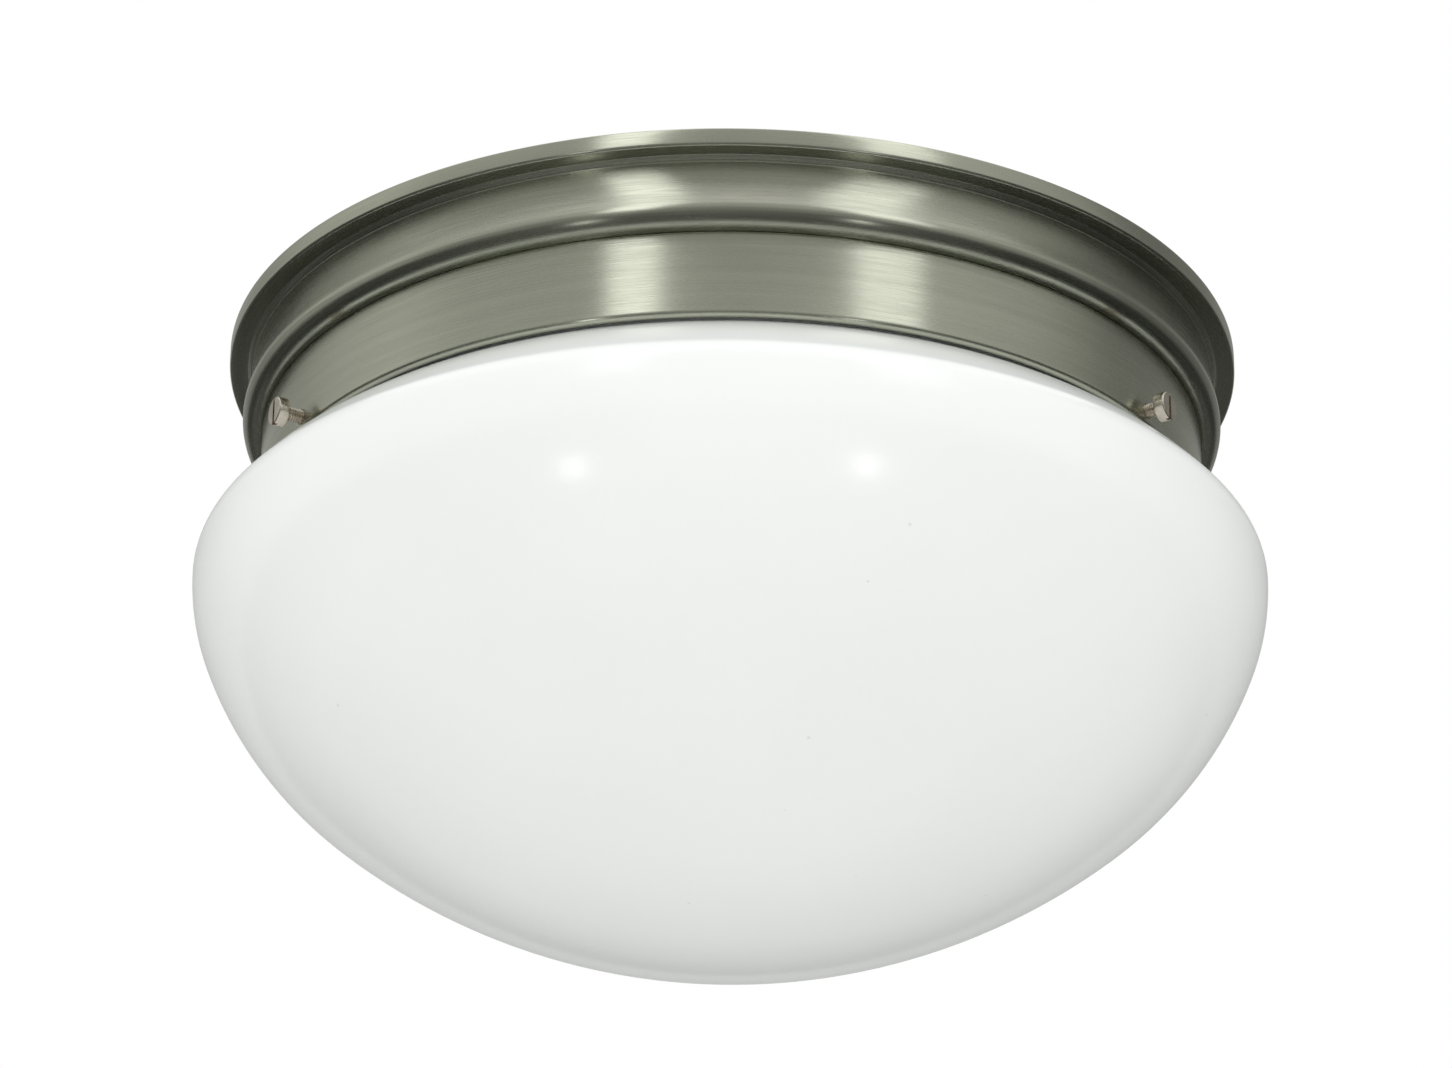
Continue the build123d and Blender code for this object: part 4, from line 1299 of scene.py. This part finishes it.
class BuildStudio(bpy.types.Operator):
    """Camera, soft lights, pale floor and the cards that the metal mirrors"""

    bl_idname = "ceiling.build_studio"
    bl_label = "Build studio"

    def execute(self, context):
        studio = context.scene.ceiling_studio
        self.camera(studio)
        self.world(studio)
        self.lights()
        self.cards()
        self.floor(studio)
        view = context.scene.view_settings
        view.view_transform = "Standard"
        return {"FINISHED"}

    @staticmethod
    def camera(studio):
        """Camera where the photograph was taken from."""
        up, yaw, roll = (math.radians(v) for v in (studio.elevation, studio.yaw, studio.roll))
        turn = Matrix.Rotation(math.radians(studio.azimuth), 3, "Z")
        right = Vector((1, 0, 0))
        ahead = Vector((0, math.cos(up), math.sin(up)))
        above = Vector((0, -math.sin(up), math.cos(up)))
        place = Vector((studio.aim_x, 0, studio.aim_z)) - ahead * studio.distance
        ahead, right = (
            ahead * math.cos(yaw) + right * math.sin(yaw),
            right * math.cos(yaw) - ahead * math.sin(yaw),
        )
        right, above = (
            right * math.cos(roll) + above * math.sin(roll),
            above * math.cos(roll) - right * math.sin(roll),
        )
        data = bpy.data.cameras.new("camera")
        data.sensor_width = 36.0
        data.lens = studio.focal * data.sensor_width / PHOTO_WIDTH
        data.clip_end = 50.0
        item = bpy.data.objects.new("camera", data)
        axes = Matrix((turn @ right, turn @ above, turn @ -ahead)).transposed()
        item.matrix_world = Matrix.Translation(turn @ place) @ axes.to_4x4()
        bpy.context.scene.collection.objects.link(item)
        bpy.context.scene.camera = item

    @staticmethod
    def world(studio):
        """White where it is seen directly, mirrored or seen through, and plain light elsewhere."""
        world = bpy.data.worlds.new("studio")
        bpy.context.scene.world = world
        shader = Shader(world)
        seen = shader.seen()
        strength = seen * (1.0 - studio.level) + studio.level
        back = shader.add("ShaderNodeBackground", None, {"Color": (1, 1, 1, 1), "Strength": strength})
        shader.add("ShaderNodeOutputWorld", None, {"Surface": back})
        world.cycles.sampling_method = "NONE"

    @staticmethod
    def lights():
        """Two tall soft boxes that make the streaks on the bands, and two low spots seen in the glass."""
        soft_box("box_left", -21, 38, 0.46, 1.7, 1.5, lean=-2)
        soft_box("box_right", 38, 38, 0.62, 1.7, 1.2, lean=3)
        soft_box("spot_left", -31, -22, 0.18, 0.26, 6.0)
        soft_box("spot_right", 30, -22, 0.18, 0.26, 6.0)

    @staticmethod
    def cards():
        """Grey walls from the horizon up, and covers below it that are darker beside the front."""
        wall = [(-180, 0.46), (-130, 0.38), (-106, 0.58), (-84, 0.68), (-64, 0.52), (0, 0.46), (30, 0.52)]
        wall += [(56, 0.6), (80, 0.5), (104, 0.24), (130, 0.24), (165, 0.36), (180, 0.46)]
        reflector_card("grey_wall", HORIZON, CARD_TOP, wall)
        low = [(-180, 0.08), (-70, 0.05), (0, 0.26), (70, 0.04), (180, 0.08)]
        reflector_card("low_wall", LOW_JOINT, HORIZON, low)
        foot = [(-180, 0.12), (-150, 0.14), (-100, 0.14), (-60, 0.12), (0, 0.3), (60, 0.1)]
        reflector_card("foot_wall", CARD_FOOT, LOW_JOINT, foot + [(100, 0.08), (180, 0.12)])
        ground = [(-180, 0.05), (-120, 0.045), (-96, 0.06), (-72, 0.11), (-48, 0.17), (0, 0.18)]
        ground += [(48, 0.15), (72, 0.07), (96, 0.045), (120, 0.035), (180, 0.05)]
        reflector_card("dark_floor", CARD_FOOT, CARD_FLOOR, ground)

    @staticmethod
    def floor(studio):
        """Pale floor of the room, white where it is seen directly, mirrored or seen through."""
        material, shader = new_shader("pale_floor")
        seen = shader.seen()
        paint = shader.add("ShaderNodeBsdfDiffuse", None, {"Color": FLOOR_TONE})
        glow = shader.add("ShaderNodeEmission", None, {"Color": (1, 1, 1, 1), "Strength": FLOOR_GLOW})
        both = shader.add("ShaderNodeAddShader", None, {0: paint, 1: glow})
        shown = shader.add("ShaderNodeMixShader", None, {0: seen, 1: paint, 2: both})
        shader.add("ShaderNodeOutputMaterial", None, {"Surface": shown})
        rings = [[(0.0, 0.0, -studio.floor_depth)], ring_at(9.0, -studio.floor_depth, 96)]
        stage_piece("floor", rings, material)


class CeilingLightPanel(bpy.types.Panel):
    """Lists the steps that build the light"""

    bl_idname = "VIEW3D_PT_ceiling_light"
    bl_label = "Ceiling Light"
    bl_space_type = "VIEW_3D"
    bl_region_type = "UI"
    bl_category = "Ceiling Light"

    def draw(self, context):
        for operator in OPERATORS:
            self.layout.operator(operator.bl_idname)


OPERATORS = (
    BuildStudio,
    BuildPan,
    BuildGlass,
    BuildThumbscrews,
    BuildLamps,
    BuildSmallScrews,
    BuildConnectors,
    BuildInsulation,
    FinishInside,
)


def register():
    """Registers the classes and the properties on the scene."""
    for group in GROUPS.values():
        bpy.utils.register_class(group)
    for name, group in GROUPS.items():
        setattr(bpy.types.Scene, name, bpy.props.PointerProperty(type=group))
    for item in (*OPERATORS, CeilingLightPanel):
        bpy.utils.register_class(item)


def unregister():
    """Takes them away again."""
    for item in (CeilingLightPanel, *reversed(OPERATORS)):
        bpy.utils.unregister_class(item)
    for name, group in GROUPS.items():
        delattr(bpy.types.Scene, name)
        bpy.utils.unregister_class(group)


def main():
    """Builds the whole light."""
    register()
    for operator in OPERATORS:
        group, name = operator.bl_idname.split(".")
        getattr(getattr(bpy.ops, group), name)()


if __name__ == "__main__":
    main()
